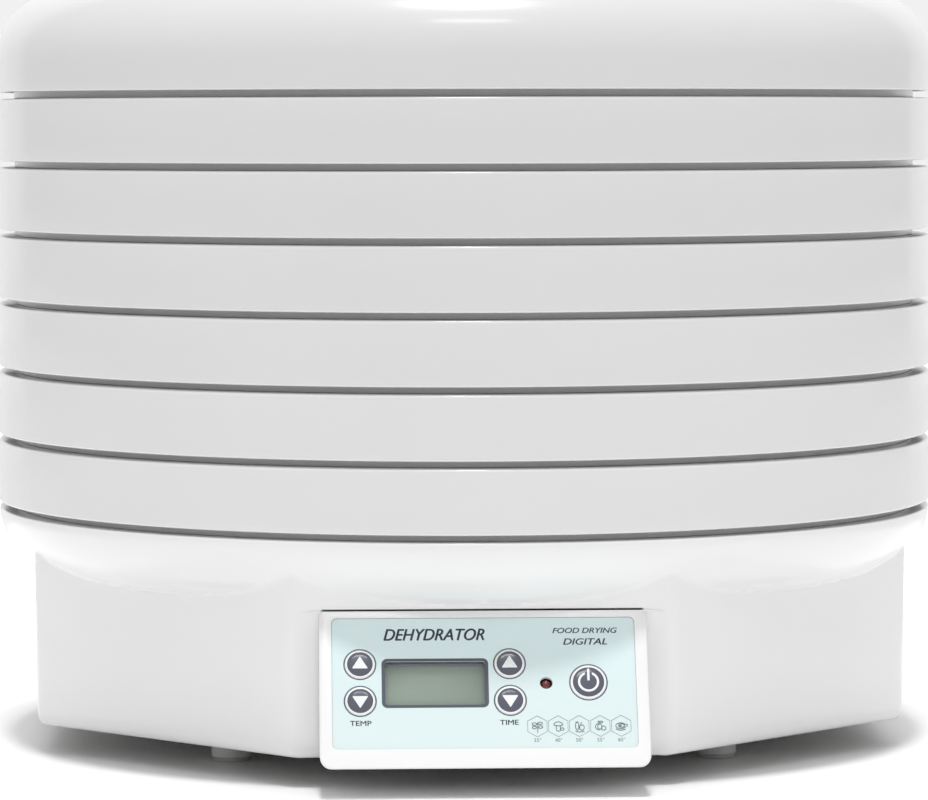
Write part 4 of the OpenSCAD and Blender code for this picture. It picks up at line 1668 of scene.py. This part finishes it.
@dataclass
class Studio:
    """Pale floor, soft lights and the camera. Lengths in metres, angles in degrees."""

    distance: float = 1.94
    eye: float = 0.259
    around: float = -2.26
    down: float = 3.52
    lens: float = 177.1
    roll: float = -0.1
    back_light: float = 1.25
    front_light: float = 0.82
    top_light: float = 1.75
    sun_angle: float = 8.0
    sun_lean: float = 5.0
    card_light: float = 0.5
    card_z: float = 0.004
    cards: tuple[Card, ...] = (Card("front_card", 1.0, 0.24, 0, -0.335),
                               Card("left_card", 0.24, 0.7, -0.33, 0.1),
                               Card("right_card", 0.24, 0.7, 0.33, 0.1))
    glint_light: float = 2.0
    glint_size: tuple[float, float] = (0.5, 0.18)
    glint_at: tuple[float, float, float] = (0, -1.29, 1.76)
    glint_aim: tuple[float, float, float] = (0, -0.2, 0.08)
    sky_seen: float = 1.1
    sky_blend: tuple[float, float] = (0.742, 0.758)
    floor_size: float = 6.0
    floor_tones: tuple[float, float] = (0.73, 0.75)
    floor_seen: float = 0.95

    def floor(self) -> None:
        """A white floor that lights the pieces a little less than it looks."""
        bm = bmesh.new()
        bmesh.ops.create_grid(bm, x_segments=8, y_segments=8, size=self.floor_size / 2)
        floor = make_object("floor", bm)
        shader = Shader("floor_white")
        dark, light = self.floor_tones
        shader.tint(shader.noise(0.5), (dark,) * 3, (light,) * 3)
        seen = shader.node("ShaderNodeMix", data_type="RGBA")
        seen.inputs[7].default_value = (*(self.floor_seen,) * 3, 1)
        shader.join(shader.node("ShaderNodeLightPath").outputs["Is Camera Ray"], seen.inputs[0])
        shader.join(shader.surface.inputs["Base Color"].links[0].from_socket, seen.inputs[6])
        shader.join(seen.outputs[2], shader.surface.inputs["Base Color"])
        shader.vary(shader.noise(4.0), 0.45, 0.5)
        floor.data.materials.append(shader.material)

    def sky(self) -> None:
        """A white surround that is greyer on the camera's side, as a studio is."""
        world = bpy.data.worlds.new("studio")
        bpy.context.scene.world = world
        world.use_nodes = True
        tree = world.node_tree
        tree.nodes.clear()
        place = tree.nodes.new("ShaderNodeTexCoord")
        split = tree.nodes.new("ShaderNodeSeparateXYZ")
        tree.links.new(place.outputs["Generated"], split.inputs["Vector"])
        spread = tree.nodes.new("ShaderNodeMapRange")
        spread.interpolation_type = "SMOOTHSTEP"
        for socket, value in (("From Min", self.sky_blend[0]), ("From Max", self.sky_blend[1]),
                              ("To Min", self.front_light), ("To Max", self.back_light)):
            spread.inputs[socket].default_value = value
        tree.links.new(split.outputs["Y"], spread.inputs["Value"])
        ray = tree.nodes.new("ShaderNodeLightPath")
        seen = tree.nodes.new("ShaderNodeMix")
        seen.inputs["B"].default_value = self.sky_seen
        tree.links.new(ray.outputs["Is Camera Ray"], seen.inputs["Factor"])
        tree.links.new(spread.outputs["Result"], seen.inputs["A"])
        back = tree.nodes.new("ShaderNodeBackground")
        tree.links.new(seen.outputs["Result"], back.inputs["Strength"])
        out = tree.nodes.new("ShaderNodeOutputWorld")
        tree.links.new(back.outputs["Background"], out.inputs["Surface"])

    def panel_light(self, name: str, size: tuple[float, float], watts: float,
                    place: Vector, aim: Vector) -> None:
        """Adds a flat soft light that the camera doesn't see.

        Args:
            name: Its name.
            size: Its width and depth.
            watts: Its power.
            place: Its centre.
            aim: The point that it faces.
        """
        light = bpy.data.lights.new(name, "AREA")
        light.shape = "RECTANGLE"
        light.size, light.size_y = size
        light.energy = watts
        made = bpy.data.objects.new(name, light)
        bpy.context.scene.collection.objects.link(made)
        made.location = place
        made.rotation_euler = (aim - place).to_track_quat("-Z", "Y").to_euler()
        made.visible_camera = False

    def lights(self) -> None:
        """A light straight above, and cards on the floor that lift the base's walls."""
        sun = bpy.data.lights.new("overhead", "SUN")
        sun.energy = self.top_light
        sun.angle = math.radians(self.sun_angle)
        overhead = bpy.data.objects.new("overhead", sun)
        bpy.context.scene.collection.objects.link(overhead)
        overhead.location = (0, 0, 2)
        overhead.rotation_euler = (math.radians(self.sun_lean), 0, 0)
        for card in self.cards:
            place = Vector((card.x, card.y, self.card_z))
            watts = math.pi * card.width * card.depth * self.card_light
            self.panel_light(card.name, (card.width, card.depth), watts, place,
                             place + Vector((0, 0, 1)))
        self.panel_light("key_glint", self.glint_size, self.glint_light, Vector(self.glint_at),
                         Vector(self.glint_aim))

    def camera(self) -> None:
        """A long lens at table height that looks slightly down at the console's side."""
        data = bpy.data.cameras.new("camera")
        data.lens = self.lens
        data.sensor_width = 36
        data.clip_start, data.clip_end = 0.05, 60
        made = bpy.data.objects.new("camera", data)
        bpy.context.scene.collection.objects.link(made)
        turn, tip = math.radians(self.around), math.radians(self.down)
        made.location = (self.distance * math.sin(turn), -self.distance * math.cos(turn), self.eye)
        ahead = Vector((-math.sin(turn) * math.cos(tip), math.cos(turn) * math.cos(tip),
                        -math.sin(tip)))
        level = ahead.to_track_quat("-Z", "Y").to_matrix()
        made.rotation_euler = (level @ Matrix.Rotation(math.radians(self.roll), 3, "Z")).to_euler()
        bpy.context.scene.camera = made

    def build(self) -> None:
        """Builds the studio."""
        bpy.context.scene.view_settings.view_transform = "Standard"
        self.camera()
        self.floor()
        self.sky()
        self.lights()


def main() -> None:
    """Builds the studio and every piece, in order."""
    logging.basicConfig(level=logging.INFO, format="%(message)s")
    palette = Palette()
    Studio().build()
    Lid().build(palette)
    trays = [DryingTray(f"tray_{number}") for number in range(1, 7)]
    moulding = trays[0].moulding()
    for tray in trays:
        tray.build(palette, moulding)
    moulding.free()
    BaseShell().build(palette)
    Underside().build(palette)
    Console().build(palette)
    InnerWorks().build(palette)
    dress_carried(palette)


if __name__ == "__main__":
    main()
